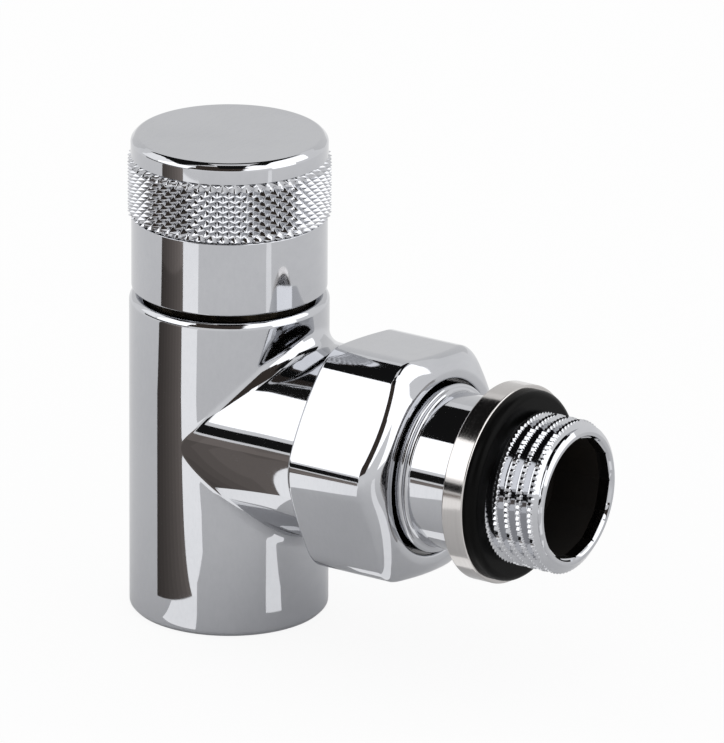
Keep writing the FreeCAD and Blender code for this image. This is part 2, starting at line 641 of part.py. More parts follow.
def make_spindle():
    """Rising spindle with its lifting thread, seal grooves and splined end."""
    body = new_body("spindle")
    half = d.stem_groove_half
    upper = d.stem_upper_groove
    clip_half = d.clip_wire + d.clip_side_gap
    clip_root = d.spindle_tip_radius - clip_half
    turn_profile(body, "spindle_turned", [
        (0, d.spindle_bottom),
        (d.spindle_tip_radius, d.spindle_bottom),
        (d.spindle_tip_radius, d.clip_height - clip_half),
        (clip_root, d.clip_height - clip_half),
        (clip_root, d.clip_height + clip_half),
        (d.spindle_tip_radius, d.clip_height + clip_half),
        (d.spindle_tip_radius, d.spindle_thread_bottom),
        (d.spindle_thread_radius, d.spindle_thread_bottom),
        (d.spindle_thread_radius, d.spindle_thread_top),
        (d.spindle_stem_radius, d.spindle_thread_top),
        (d.spindle_stem_radius, d.stem_lower_groove - half),
        (d.stem_groove_radius, d.stem_lower_groove - half),
        (d.stem_groove_radius, d.stem_lower_groove + half),
        (d.spindle_stem_radius, d.stem_lower_groove + half),
        (d.spindle_stem_radius, upper - half),
        (d.stem_groove_radius, upper - half),
        (d.stem_groove_radius, upper + half),
        (d.spindle_stem_radius, upper + half),
        (d.spindle_stem_radius, d.spline_bottom),
        (d.spline_radius, d.spline_bottom),
        (d.spline_radius, d.spindle_top),
        (0, d.spindle_top),
    ])
    groove = new_sketch(body, "XY_Plane", "spline_section", d.spindle_top)
    draw_outline(groove, [
        (d.spline_radius - d.spline_depth, 0),
        (d.spline_radius + d.spline_depth, d.spline_groove_width / 2),
        (d.spline_radius + d.spline_depth, -d.spline_groove_width / 2),
    ])
    length = d.spindle_top - d.spline_bottom
    cut = extrude(body, "spline", groove, length, "PartDesign::Pocket")
    repeat(body, "splines", cut, "Z_Axis", d.spline_count)
    pieces.append(body)
    centre = seal_centre(d.stem_groove_radius, d.stem_seal_cord)
    seal_ring("spindle_seal_lower", centre, d.stem_seal_cord, d.stem_lower_groove)
    seal_ring("spindle_seal_upper", centre, d.stem_seal_cord, upper)


def make_plug():
    """Swivelling plug with its rubber washer, retaining plate, screw and wire clip."""
    rim = d.seat_level + d.plug_rim_lift
    recess = d.plug_washer_radius + d.plug_recess_gap
    floor = d.plug_floor
    hole = d.screw_shank_radius + d.running_gap
    socket = d.spindle_tip_radius + d.running_gap
    clip_half = d.clip_wire + d.clip_side_gap
    clip_floor = socket + d.clip_wire + d.running_gap
    turned_piece("plug", [
        (hole, floor),
        (recess, floor),
        (recess, rim),
        (d.plug_radius, rim),
        (d.plug_radius, d.plug_disc_top),
        (d.plug_hub_radius, d.plug_disc_top),
        (d.plug_hub_radius, d.plug_hub_top),
        (socket, d.plug_hub_top),
        (socket, d.clip_height + clip_half),
        (clip_floor, d.clip_height + clip_half),
        (clip_floor, d.clip_height - clip_half),
        (socket, d.clip_height - clip_half),
        (socket, d.plug_socket_floor),
        (0, d.plug_socket_floor),
        (0, d.screw_top + d.running_gap),
        (hole, d.screw_top + d.running_gap),
    ])
    turned_piece("plug_washer", [
        (hole, d.seat_level),
        (d.plug_washer_radius, d.seat_level),
        (d.plug_washer_radius, floor),
        (hole, floor),
    ])
    plate_bottom = d.seat_level - d.retainer_thickness
    turned_piece("washer_plate", [
        (hole, plate_bottom),
        (d.retainer_radius, plate_bottom),
        (d.retainer_radius, d.seat_level),
        (hole, d.seat_level),
    ])
    screw = new_body("plug_screw")
    head_bottom = plate_bottom - d.screw_head_height
    turn_profile(screw, "plug_screw_turned", [
        (0, head_bottom),
        (d.screw_head_radius, head_bottom),
        (d.screw_head_radius, plate_bottom),
        (d.screw_shank_radius, plate_bottom),
        (d.screw_shank_radius, d.screw_top),
        (0, d.screw_top),
    ])
    key = new_sketch(screw, "XY_Plane", "plug_screw_socket_section", head_bottom)
    draw_outline(key, hexagon(d.screw_socket_flats))
    extrude(screw, "plug_screw_socket", key, d.screw_socket_depth, "PartDesign::Pocket", True)
    pieces.append(screw)
    wire_centre = d.spindle_tip_radius + d.running_gap / 2
    open_ring("plug_clip", wire_centre, d.clip_wire, d.clip_height)


def open_ring(label, centre_radius, wire, height):
    """Wire ring with a gap, about the upright axis."""
    body = new_body(label)
    sketch = new_sketch(body, "XZ_Plane", label + "_profile")
    number = sketch.addGeometry(
        Part.Circle(
            FreeCAD.Vector(centre_radius.value, height.value, 0),
            FreeCAD.Vector(0, 0, 1),
            wire.value,
        ),
        False,
    )
    for kind, size in (("DistanceX", centre_radius), ("DistanceY", height)):
        place = sketch.addConstraint(
            Sketcher.Constraint(kind, -1, 1, number, 3, size.value)
        )
        bind(sketch, "Constraints[%d]" % place, size)
    width = sketch.addConstraint(Sketcher.Constraint("Radius", number, wire.value))
    bind(sketch, "Constraints[%d]" % width, wire)
    feature = body.newObject("PartDesign::Revolution", label + "_bent")
    feature.Profile = sketch
    feature.ReferenceAxis = (sketch, ["V_Axis"])
    bind(feature, "Angle", d.open_ring_angle)
    body.Tip = feature
    doc.recompute()
    pieces.append(body)


def knurled_band():
    """Band of pointed diamonds: a ring of triangles round a true inner cylinder."""
    count = int(round(d.knurl_count.value))
    halves = int(round(d.knurl_rows.value * 2))
    low = d.knurl_bottom.value
    high = d.knurl_top.value
    edge = d.knurl_edge.value
    step = (high - low - 2 * edge) / halves
    root = d.knurl_root_radius.value
    tip = d.knurl_radius.value
    floor = d.knurl_floor.value

    def point(radius, half_turns, height):
        angle = math.pi * half_turns / count
        return FreeCAD.Vector(radius * math.cos(angle), radius * math.sin(angle), height)

    def grid(level, half_turns):
        in_valley = (half_turns - level) % 2 == 0
        return point(root if in_valley else tip, half_turns, low + edge + level * step)

    triangles = []
    for level in range(halves + 1):
        for half_turns in range(level % 2 + 1, 2 * count + level % 2 + 1, 2):
            peak = grid(level, half_turns)
            left = grid(level, half_turns - 1)
            right = grid(level, half_turns + 1)
            if level < halves:
                above = grid(level + 1, half_turns)
                triangles.append((peak, right, above))
                triangles.append((peak, above, left))
            if level > 0:
                below = grid(level - 1, half_turns)
                triangles.append((peak, left, below))
                triangles.append((peak, below, right))
    for level, height in ((0, low), (halves, high)):
        for half_turns in range(2 * count):
            first = grid(level, half_turns)
            second = grid(level, half_turns + 1)
            outer_first = point(root, half_turns, height)
            outer_second = point(root, half_turns + 1, height)
            triangles.append((first, second, outer_first))
            triangles.append((second, outer_second, outer_first))
    faces = [Part.Face(Part.makePolygon([a, b, c, a])) for a, b, c in triangles]
    for height in (low, high):
        rim = [point(root, half_turns, height) for half_turns in range(2 * count)]
        faces.append(Part.Face(Part.makePolygon(rim + rim[:1])))
    shell = Part.makeShell(faces)
    shell.sewShape()
    solid = Part.makeSolid(shell)
    if solid.Volume < 0:
        solid.reverse()
    core = Part.makeCylinder(floor, high - low, FreeCAD.Vector(0, 0, low))
    band = doc.addObject("Part::Feature", "knurled_band")
    band.Shape = solid.cut(core)
    return band


def make_knob():
    """Knurled metal shell of the hand knob, with its moulded insert and spring ring."""
    shell = new_body("knob_turned_shell")
    roof = d.knob_roof_bottom
    turn_profile(shell, "knob_turned", [
        (d.knob_inner_radius, d.knob_bottom),
        (d.knob_skirt_radius, d.knob_bottom),
        (d.knob_skirt_radius, d.knurl_bottom),
        (d.knurl_floor, d.knurl_bottom),
        (d.knurl_floor, d.knurl_top),
        (d.knob_cap_radius, d.knurl_top),
        (d.knob_cap_radius, d.knob_top - d.knob_top_bevel),
        (d.knob_cap_radius - d.knob_top_bevel, d.knob_top),
        (0, d.knob_top),
        (0, roof),
        (d.knob_inner_radius, roof),
    ])
    joined = doc.addObject("Part::Fuse", "knob_shell")
    joined.Label = "knob_shell"
    joined.Base = shell
    joined.Tool = knurled_band()
    doc.recompute()
    pieces.append(joined)

    insert = new_body("knob_insert")
    rim = d.knob_inner_radius
    rim_inside = rim - d.insert_wall
    web = d.insert_web_bottom
    groove_half = d.spring_ring_wire + d.running_gap
    groove_floor = d.insert_hub_radius - d.spring_ring_groove
    turn_profile(insert, "insert_turned", [
        (0, roof),
        (rim, roof),
        (rim, d.insert_bottom),
        (rim_inside, d.insert_bottom),
        (rim_inside, web),
        (d.insert_hub_radius, web),
        (d.insert_hub_radius, d.spring_ring_height + groove_half),
        (groove_floor, d.spring_ring_height + groove_half),
        (groove_floor, d.spring_ring_height - groove_half),
        (d.insert_hub_radius, d.spring_ring_height - groove_half),
        (d.insert_hub_radius, d.insert_bottom),
        (d.spline_socket_radius, d.insert_bottom),
        (d.spline_socket_radius, d.insert_socket_top),
        (0, d.insert_socket_top),
    ])
    rib_sketch = new_sketch(insert, "XY_Plane", "insert_rib_section", d.insert_rib_bottom)
    draw_outline(rib_sketch, [
        (d.insert_hub_radius - d.insert_rib_root, -d.insert_rib / 2),
        (rim_inside + d.insert_rib_root, -d.insert_rib / 2),
        (rim_inside + d.insert_rib_root, d.insert_rib / 2),
        (d.insert_hub_radius - d.insert_rib_root, d.insert_rib / 2),
    ])
    height = web - d.insert_rib_bottom + d.insert_web / 2
    rib = extrude(insert, "insert_rib_pad", rib_sketch, height)
    repeat(insert, "insert_ribs", rib, "Z_Axis", d.insert_rib_count)
    pieces.append(insert)
    ring_radius = seal_centre(groove_floor, d.spring_ring_wire)
    open_ring("knob_spring_ring", ring_radius, d.spring_ring_wire, d.spring_ring_height)


def make_union_nut():
    """Hexagon nut, rounded along its edges and turned down to cones at both ends."""
    body = new_body("union_nut", across=True, turn=d.nut_turn)
    section = new_sketch(body, "YZ_Plane", "nut_section", d.nut_back)
    draw_outline(section, hexagon(d.nut_flats))
    length = d.nut_front - d.nut_back
    extrude(body, "nut_blank", section, length)
    long_edges = []
    for number, edge in enumerate(body.Shape.Edges, start=1):
        if abs(edge.BoundBox.XLength - length.value) < 1e-4:
            long_edges.append("Edge%d" % number)
    dress_edges(body, "nut_rounded", "PartDesign::Fillet", long_edges, d.nut_corner_round)
    beyond = d.nut_flats / 2 + d.nut_cone_reach
    clear = d.nut_flats
    behind = d.nut_back - d.cutter_run
    before = d.nut_front + d.cutter_run
    turn_profile(body, "nut_ends", [
        (d.nut_back, d.nut_back_radius),
        (d.nut_back + d.nut_back_cone, beyond),
        (d.nut_front - d.nut_front_cone, beyond),
        (d.nut_front, d.nut_front_radius),
        (before, d.nut_front_radius),
        (before, clear),
        (behind, clear),
        (behind, d.nut_back_radius),
    ], "PartDesign::Groove")
    turn_profile(body, "nut_bore", [
        (behind, 0),
        (before, 0),
        (before, d.nut_lip_radius),
        (d.nut_lip_start, d.nut_lip_radius),
        (d.nut_lip_start, d.nut_thread_radius),
        (d.nut_back + d.nut_entry, d.nut_thread_radius),
        (d.nut_back, d.nut_thread_radius + d.nut_entry),
        (behind, d.nut_thread_radius + d.nut_entry),
    ], "PartDesign::Groove")
    mouth = ring_edges(body.Shape, d.nut_lip_radius, d.nut_front, True)
    dress_edges(body, "nut_mouth", "PartDesign::Fillet", mouth, d.nut_lip_round)
    pieces.append(body)


def make_tailpiece():
    """Turned tailpiece with its nose, flange, outlet thread and key socket."""
    body = new_body("tailpiece", across=True)
    nose = d.nose_radius
    half = d.nose_seal_cord + d.seal_side_gap
    ring_floor = d.snap_ring_inner - d.snap_ring_gap
    ring_back = d.snap_ring_start - d.snap_ring_gap
    ring_front = d.snap_ring_end + d.snap_ring_gap
    turn_profile(body, "tail_turned", [
        (d.nose_start, d.tail_bore_radius),
        (d.nose_start, nose - d.nose_bevel),
        (d.nose_start + d.nose_bevel, nose),
        (d.nose_groove_centre - half, nose),
        (d.nose_groove_centre - half, d.nose_groove_radius),
        (d.nose_groove_centre + half, d.nose_groove_radius),
        (d.nose_groove_centre + half, nose),
        (d.branch_end, nose),
        (d.branch_end, d.flange_radius),
        (ring_back, d.flange_radius),
        (ring_back, ring_floor),
        (ring_front, ring_floor),
        (ring_front, d.flange_radius),
        (d.flange_front, d.flange_radius),
        (d.flange_front, d.tail_radius),
        (d.collar_start, d.tail_radius),
        (d.collar_start, d.pipe_thread_radius),
        (d.collar_end, d.pipe_thread_radius),
        (d.collar_end, d.relief_radius),
        (d.relief_end, d.relief_radius),
        (d.relief_end, d.pipe_thread_radius),
        (d.thread_end, d.pipe_thread_radius),
        (d.tail_end, d.tail_end_radius),
        (d.tail_end, d.tail_bore_radius),
    ])
    lip = ring_edges(body.Shape, d.flange_radius, d.flange_front, True)
    dress_edges(body, "flange_lip", "PartDesign::Fillet", lip, d.flange_round)
    flare = ring_edges(body.Shape, d.tail_radius, d.flange_front, True)
    dress_edges(body, "flange_flare", "PartDesign::Fillet", flare, d.flange_flare)
    socket = new_sketch(body, "YZ_Plane", "key_socket_section", d.tail_end)
    sides = int(round(d.key_socket_sides.value))
    draw_outline(socket, polygon(d.key_socket_radius, sides, 180.0 / sides))
    extrude(body, "key_socket", socket, d.key_socket_depth, "PartDesign::Pocket")
    cut_outlet_thread(body)
    serrate_crests(body)
    pieces.append(body)


def cut_outlet_thread(body):
    """Helical V groove that leaves flat crests at the thread's major radius."""
    sketch = new_sketch(body, "XZ_Plane", "thread_groove_profile")
    slope = math.tan(math.radians(d.outlet_thread_angle.value / 2))
    root = d.pipe_thread_radius - d.outlet_thread_depth
    outside = d.pipe_thread_radius + d.cutter_rise
    half_root = d.outlet_root_flat / 2
    half_top = half_root + (d.outlet_thread_depth + d.cutter_rise) * slope
    centre = d.thread_start
    draw_outline(sketch, [
        (centre - half_root, root),
        (centre + half_root, root),
        (centre + half_top, outside),
        (centre - half_top, outside),
    ])
    before = body.Shape.Volume
    helix = body.newObject("PartDesign::SubtractiveHelix", "outlet_thread")
    helix.Profile = sketch
    helix.ReferenceAxis = (sketch, ["H_Axis"])
    helix.Mode = 0
    bind(helix, "Pitch", d.outlet_pitch)
    bind(helix, "Height", d.tail_end - d.thread_start + d.outlet_pitch)
    helix.Angle = 0
    helix.LeftHanded = False
    helix.Reversed = False
    sketch.Visibility = False
    body.Tip = helix
    doc.recompute()
    if body.Shape.Volume > before - 1:
        raise RuntimeError("the outlet thread cut nothing")


def serrate_crests(body):
    """Fine notches along the axis that let sealing yarn grip the thread's crests."""
    sketch = new_sketch(body, "YZ_Plane", "crest_notch_section", d.tail_end)
    rise = d.cutter_rise
    half_top = d.crest_notch_width * (rise + d.crest_notch_depth) / d.crest_notch_depth / 2
    draw_outline(sketch, [
        (0, d.pipe_thread_radius - d.crest_notch_depth),
        (half_top, d.pipe_thread_radius + rise),
        (-half_top, d.pipe_thread_radius + rise),
    ])
    length = d.tail_end - d.relief_end
    notch = extrude(body, "crest_notch", sketch, length, "PartDesign::Pocket")
    repeat(body, "crest_notches", notch, "X_Axis", d.crest_teeth)


def make_union_parts():
    """Snap ring and seal between the tailpiece, the nut and the branch."""
    turned_piece("tail_snap_ring", [
        (d.snap_ring_start, d.snap_ring_inner),
        (d.snap_ring_start, d.snap_ring_outer),
        (d.snap_ring_end, d.snap_ring_outer),
        (d.snap_ring_end, d.snap_ring_inner),
    ], across=True, angle=d.open_ring_angle)
    seal = doc.addObject("Part::Torus", "union_seal")
    seal.Label = "union_seal"
    seal.Placement = FreeCAD.Placement(
        FreeCAD.Vector(), FreeCAD.Rotation(FreeCAD.Vector(0, 1, 0), 90)
    )
    bind(seal, "Radius1", seal_centre(d.nose_groove_radius, d.nose_seal_cord))
    bind(seal, "Radius2", d.nose_seal_cord)
    bind(seal, "Placement.Base.x", d.nose_groove_centre)
    bind(seal, "Placement.Base.z", d.branch_height)
    pieces.append(seal)


def make_outlet_parts():
    """Satin collar on the outlet thread, with the black sealing ring in front of it."""
    collar_end = d.collar_end
    bore = d.collar_bore
    turned_piece("collar_ring", [
        (d.collar_start, bore),
        (d.collar_start, d.collar_radius - d.collar_bevel),
        (d.collar_start + d.collar_bevel, d.collar_radius),
        (collar_end - d.collar_bevel, d.collar_radius),
        (collar_end, d.collar_radius - d.collar_bevel),
        (collar_end, bore),
    ], across=True)
    ring = new_body("sealing_ring", across=True)
    inner = d.seal_inner
    front = d.relief_end
    turn_profile(ring, "sealing_ring_moulded", [
        (collar_end, inner),
        (collar_end, d.seal_outer),
        (front, d.seal_outer),
        (front, inner),
    ])
    outer_edge = ring_edges(ring.Shape, d.seal_outer, front, True)
    dress_edges(ring, "seal_outer_edge", "PartDesign::Fillet", outer_edge, d.seal_outer_round)
    inner_edge = ring_edges(ring.Shape, inner, front, True)
    dress_edges(ring, "seal_inner_edge", "PartDesign::Fillet", inner_edge, d.seal_inner_round)
    pieces.append(ring)


def check_document():
    """Stop if any object failed or any piece has no valid solid."""
    doc.recompute()
    for item in doc.Objects:
        if "Invalid" in item.State or "Error" in item.State:
            raise RuntimeError("%s failed: %s" % (item.Label, item.State))
    for piece in pieces:
        shape = piece.Shape
        if shape.isNull() or not shape.isValid() or not shape.Solids:
            raise RuntimeError("%s has no valid solid" % piece.Label)


def export_pieces():
    """Write each piece to a file of its own and print its size."""
    os.makedirs("parts", exist_ok=True)
    for piece in pieces:
        piece.Shape.exportStep("parts/%s.step" % piece.Label)
        box = piece.Shape.BoundBox
        print("%-20s %9.1f mm3  x %.2f..%.2f  y %.2f..%.2f  z %.2f..%.2f" % (
            piece.Label, piece.Shape.Volume, box.XMin, box.XMax, box.YMin, box.YMax,
            box.ZMin, box.ZMax,
        ))


make_valve_body()
make_bonnet()
make_spindle()
make_plug()
make_knob()
make_union_nut()
make_tailpiece()
make_union_parts()
make_outlet_parts()
check_document()
export_pieces()
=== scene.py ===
import logging
from dataclasses import dataclass
from enum import Enum
from functools import reduce
from math import atan2, ceil, cos, dist, hypot, pi, radians, sin, sqrt, tan, tau
from typing import Callable, Sequence

import bmesh
import bpy
from mathutils import Matrix, Vector

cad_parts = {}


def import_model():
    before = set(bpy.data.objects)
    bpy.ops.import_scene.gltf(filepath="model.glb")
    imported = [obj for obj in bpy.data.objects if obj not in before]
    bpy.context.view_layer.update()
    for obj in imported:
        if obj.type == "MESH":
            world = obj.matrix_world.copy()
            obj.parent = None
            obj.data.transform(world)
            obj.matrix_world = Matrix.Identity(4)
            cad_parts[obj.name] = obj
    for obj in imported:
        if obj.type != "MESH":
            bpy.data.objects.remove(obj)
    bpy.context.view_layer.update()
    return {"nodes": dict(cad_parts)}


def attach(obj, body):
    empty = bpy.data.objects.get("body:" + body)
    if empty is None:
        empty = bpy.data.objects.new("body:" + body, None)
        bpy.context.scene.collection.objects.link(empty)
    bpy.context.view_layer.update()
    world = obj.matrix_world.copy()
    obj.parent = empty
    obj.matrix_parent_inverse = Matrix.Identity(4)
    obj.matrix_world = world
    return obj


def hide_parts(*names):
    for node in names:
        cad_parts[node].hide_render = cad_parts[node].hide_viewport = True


log = logging.getLogger("shut_off_valve")
MM = 0.001
BRANCH_HEIGHT = 26.9
TURN_STEPS = 192
WHITE = (1.0, 1.0, 1.0)
WARM_STRIP = (1.12, 0.98, 0.90)
WARM_CLOTH = (1.25, 1.0, 0.85)
UP = Vector((0.0, 0.0, 1.0))
Corner = tuple[float, float]
Pair = tuple[float, float]
Triple = tuple[float, float, float]
Noise = tuple[Triple, float, float]
Names = tuple[str, ...]
Stops = tuple[Pair, ...]
Material = bpy.types.Material


class Facing(Enum):
    """Side of a turned skin that its faces look to."""

    OUT = 1
    IN = -1


class Value:
    """A shader value that takes part in sums like a number."""

    def __init__(self, graph: "Graph", socket: bpy.types.NodeSocket) -> None:
        """Keep a socket together with the graph that it belongs to."""
        self.graph = graph
        self.socket = socket

    def _join(self, operation: str, first: object, second: object) -> "Value":
        """Result of a Math node's operation on two values or numbers."""
        return self.graph.value("ShaderNodeMath", {"operation": operation}, {0: first, 1: second})

    def __add__(self, other: object) -> "Value":
        """Sum with a value or a number."""
        return self._join("ADD", self, other)

    def __rsub__(self, other: object) -> "Value":
        """Difference with a number on the left."""
        return self._join("SUBTRACT", other, self)

    def __mul__(self, other: object) -> "Value":
        """Product with a value or a number."""
        return self._join("MULTIPLY", self, other)

    def least(self, other: object) -> "Value":
        """Smaller one of this and a value or a number."""
        return self._join("MINIMUM", self, other)

    __radd__ = __add__
    __rmul__ = __mul__


Patterns = tuple[Value, Value, Value]


class Graph:
    """The node tree of one finish or of the surroundings."""

    def __init__(self, owner: Material | bpy.types.World) -> None:
        """Empty the owner's node tree.

        Args:
            owner: A material or a world.
        """
        owner.use_nodes = True
        self.owner = owner
        self.tree = owner.node_tree
        self.tree.nodes.clear()

    def node(self, kind: str, settings: dict, inputs: dict) -> bpy.types.Node:
        """Add a node.

        Args:
            kind: The node's type.
            settings: Properties that are set before the sockets; "stops" fills a ramp.
            inputs: Socket names or numbers with values, numbers or colours.

        Returns:
            The new node.
        """
        node = self.tree.nodes.new(kind)
        for name, setting in settings.items():
            if name == "stops":
                ramp = node.color_ramp
                while len(ramp.elements) < len(setting):
                    ramp.elements.new(1.0)
                for element, (place, shade) in zip(ramp.elements, setting):
                    element.position = place
                    element.color = (shade, shade, shade, 1.0)
            else:
                setattr(node, name, setting)
        for name, value in inputs.items():
            source = value.socket if isinstance(value, Value) else value
            if isinstance(source, bpy.types.NodeSocket):
                self.tree.links.new(source, node.inputs[name])
            else:
                node.inputs[name].default_value = source
        return node

    def value(self, kind: str, settings: dict, inputs: dict, output: int | str = 0) -> Value:
        """Add a node as node() does and take one of its outputs."""
        return Value(self, self.node(kind, settings, inputs).outputs[output])

    def place(self, scale: Triple) -> Value:
        """Object coordinates with so many repeats per metre along each axis."""
        source = self.value("ShaderNodeTexCoord", {}, {}, "Object")
        return self.value("ShaderNodeMapping", {}, {"Vector": source, "Scale": scale})

    def noise(self, scale: Triple, octaves: float, rough: float) -> Value:
        """Cloudy noise about 0.5; rough is the strength of its finer octaves."""
        return self.value("ShaderNodeTexNoise", {}, {
            "Vector": self.place(scale), "Scale": 1.0, "Detail": octaves, "Roughness": rough})

    def ramp(self, value: Value, stops: Stops) -> Value:
        """Grey ramp over a value, from the places and shades of its stops."""
        return self.value("ShaderNodeValToRGB", {"stops": stops}, {0: value})

    def blend(self, amount: Value, low: Triple, high: Triple) -> Value:
        """Mix of two colours, the first one where the amount is 0."""
        return self.value("ShaderNodeMix", {"data_type": "RGBA"}, {
            0: amount, 6: (*low, 1.0), 7: (*high, 1.0)}, 2)

    def bump(self, height: Value, strength: float, distance: float) -> Value:
        """Normal bumped by a relief from 0 to 1; the distance is its height in metres."""
        return self.value("ShaderNodeBump", {}, {
            "Strength": strength, "Distance": distance, "Height": height})

    def glow(self, colour: Triple, strength: float) -> Value:
        """Emission of a colour."""
        return self.value("ShaderNodeEmission", {}, {
            "Color": (*colour, 1.0), "Strength": strength})

    def rays(self, *kinds: str) -> Value:
        """Sum that is 1 for rays of one of these kinds."""
        path = self.node("ShaderNodeLightPath", {}, {})
        return reduce(Value.__add__, (Value(self, path.outputs[f"Is {k} Ray"]) for k in kinds))

    def finish(self, shader: Value) -> Material:
        """End the graph in a shader and hand over the material."""
        self.node("ShaderNodeOutputMaterial", {}, {"Surface": shader})
        return self.owner


class Finish:
    """Two colours with uneven gloss over a fine relief."""

    name: str
    dark: Triple
    light: Triple
    stain: Noise
    stain_stops: Stops = ()
    grain: Noise = (500.0, 500.0, 9000.0), 2.0, 0.6
    grain_gloss: bool = False
    roughness: Pair
    relief: Pair = (0.3, 0.00002)
    metallic: float = 1.0
    specular: float = 0.5

    def patterns(self, graph: Graph) -> Patterns:
        """Patterns of colour, gloss and relief, which are a stain and a finer grain.

        Args:
            graph: Where they are made.

        Returns:
            The three values.
        """
        stain = graph.noise(*self.stain)
        if self.stain_stops:
            stain = graph.ramp(stain, self.stain_stops)
        grain = graph.noise(*self.grain)
        return stain, grain if self.grain_gloss else stain, grain

    def material(self) -> Material:
        """Material of the finish."""
        graph = Graph(bpy.data.materials.new(self.name))
        colour, gloss, relief = self.patterns(graph)
        base, gain = self.roughness
        return graph.finish(graph.value("ShaderNodeBsdfPrincipled", {}, {
            "Base Color": graph.blend(colour, self.dark, self.light),
            "Metallic": self.metallic,
            "Specular IOR Level": self.specular,
            "Roughness": base + gain * gloss,
            "Normal": graph.bump(relief, *self.relief)}))


class Chrome(Finish):
    """Bright chrome plating with the ripple that polishing leaves."""

    name = "chrome_plating"
    dark = (0.492, 0.500, 0.524)
    light = (0.536, 0.543, 0.566)
    roughness = (0.030, 0.045)
    relief = (0.30, 0.00003)

    def patterns(self, graph: Graph) -> Patterns:
        """Faint haze with wiping marks, and waves.

        Args:
            graph: Where they are made.

        Returns:
            Patterns of colour, gloss and relief.
        """
        cloud = graph.noise((60.0, 60.0, 60.0), 4.0, 0.55)
        wipe = graph.noise((2400.0, 300.0, 900.0), 3.0, 0.6)
        haze = graph.ramp(cloud * 0.7 + wipe * 0.3, ((0.42, 0.0), (0.68, 1.0)))
        return 1.0 - haze, haze, graph.noise((95.0, 95.0, 95.0), 1.0, 0.4)


class SatinNickel(Finish):
    """Turned grey-brown nickel plating with fine circular tool marks."""

    name = "satin_nickel"
    dark = (0.46, 0.44, 0.43)
    light = (0.61, 0.595, 0.585)
    roughness = (0.07, 0.09)
    relief = (0.25, 0.00001)

    def patterns(self, graph: Graph) -> Patterns:
        """Rings of fine and coarse turning marks.

        Args:
            graph: Where they are made.

        Returns:
            Patterns of colour, gloss and relief.
        """
        rings = graph.noise((11000.0, 90.0, 90.0), 2.0, 0.6)
        coarse = graph.noise((2600.0, 40.0, 40.0), 2.0, 0.5)
        marks = rings * 0.6 + coarse * 0.4
        return marks, graph.ramp(marks, ((0.3, 0.0), (0.7, 1.0))), marks


class BareBrass(Finish):
    """Machined brass without plating, dulled by air and water."""

    name = "bare_brass"
    dark = (0.34, 0.22, 0.09)
    light = (0.72, 0.53, 0.24)
    stain = (240.0, 240.0, 240.0), 5.0, 0.6
    stain_stops = (0.3, 0.0), (0.62, 1.0)
    roughness = (0.46, -0.2)


class BonnetPaintedShade(Finish):
    """Brass of the headwork, painted nearly black as the shade in the gap under the knob, with
    random brown patches.
    """

    name = "blackened_brass"
    dark = (0.012, 0.010, 0.008)
    light = (0.060, 0.046, 0.028)
    stain = (400.0, 400.0, 400.0), 5.0, 0.6
    stain_stops = (0.45, 0.0), (0.8, 1.0)
    roughness = (0.5, -0.15)


class BorePaintedShade(Finish):
    """Painted shade for the inside of the waterway and the other bores: nearly black, with a faint
    random stain.
    """

    name = "bore_painted_shade"
    dark = (0.003, 0.0025, 0.002)
    light = (0.014, 0.010, 0.007)
    stain = (300.0, 300.0, 300.0), 5.0, 0.6
    grain = stain
    roughness = (0.8, -0.2)
    relief = (0.4, 0.00005)
    metallic = 0.0
    specular = 0.2


class Rubber(Finish):
    """Moulded black rubber with a trace of bloom and a fine skin."""

    name = "black_rubber"
    dark = (0.0015, 0.0015, 0.0015)
    light = (0.004, 0.004, 0.004)
    stain = (350.0, 350.0, 350.0), 5.0, 0.6
    grain = (9000.0, 9000.0, 9000.0), 2.0, 0.5
    roughness = (0.26, 0.16)
    relief = (0.25, 0.00001)
    metallic = 0.0
    specular = 0.05


class SpringSteel(Finish):
    """Drawn spring wire and stamped spring steel with a little oil."""

    name = "spring_steel"
    dark = (0.22, 0.21, 0.20)
    light = (0.48, 0.47, 0.46)
    stain = (500.0, 500.0, 500.0), 4.0, 0.6
    grain = (1500.0, 1500.0, 12000.0), 2.0, 0.6
    roughness = (0.22, 0.22)
    relief = (0.2, 0.00001)


class InsertPlastic(Finish):
    """Glass-filled off-white plastic of the knob's insert, with flow marks and a matte grain."""

    name = "insert_plastic"
    dark = (0.60, 0.59, 0.55)
    light = (0.74, 0.73, 0.69)
    stain = (120.0, 120.0, 60.0), 4.0, 0.6
    grain = (6000.0, 6000.0, 6000.0), 2.0, 0.5
    grain_gloss = True
    roughness = (0.42, 0.18)
    relief = (0.2, 0.00002)
    metallic = 0.0


@dataclass(frozen=True)
class Kit:
    """What the sub-assemblies are made with."""

    nodes: dict[str, bpy.types.Object]
    finishes: dict[str, Material]

    def skins(self) -> tuple[Material, Material]:
        """Plating of the outside and the painted shade of the waterway."""
        return self.finishes["chrome_plating"], self.finishes["bore_painted_shade"]


def new_object(name: str, mesh: bmesh.types.BMesh,
               materials: Sequence[Material]) -> bpy.types.Object:
    """Put a finished mesh into the scene.

    Args:
        name: Name of the object and of its mesh.
        mesh: The mesh, which is freed.
        materials: Materials in the order of the face slots.

    Returns:
        The new object.
    """
    data = bpy.data.meshes.new(name)
    mesh.to_mesh(data)
    mesh.free()
    for material in materials:
        data.materials.append(material)
    piece = bpy.data.objects.new(name, data)
    bpy.context.scene.collection.objects.link(piece)
    return piece


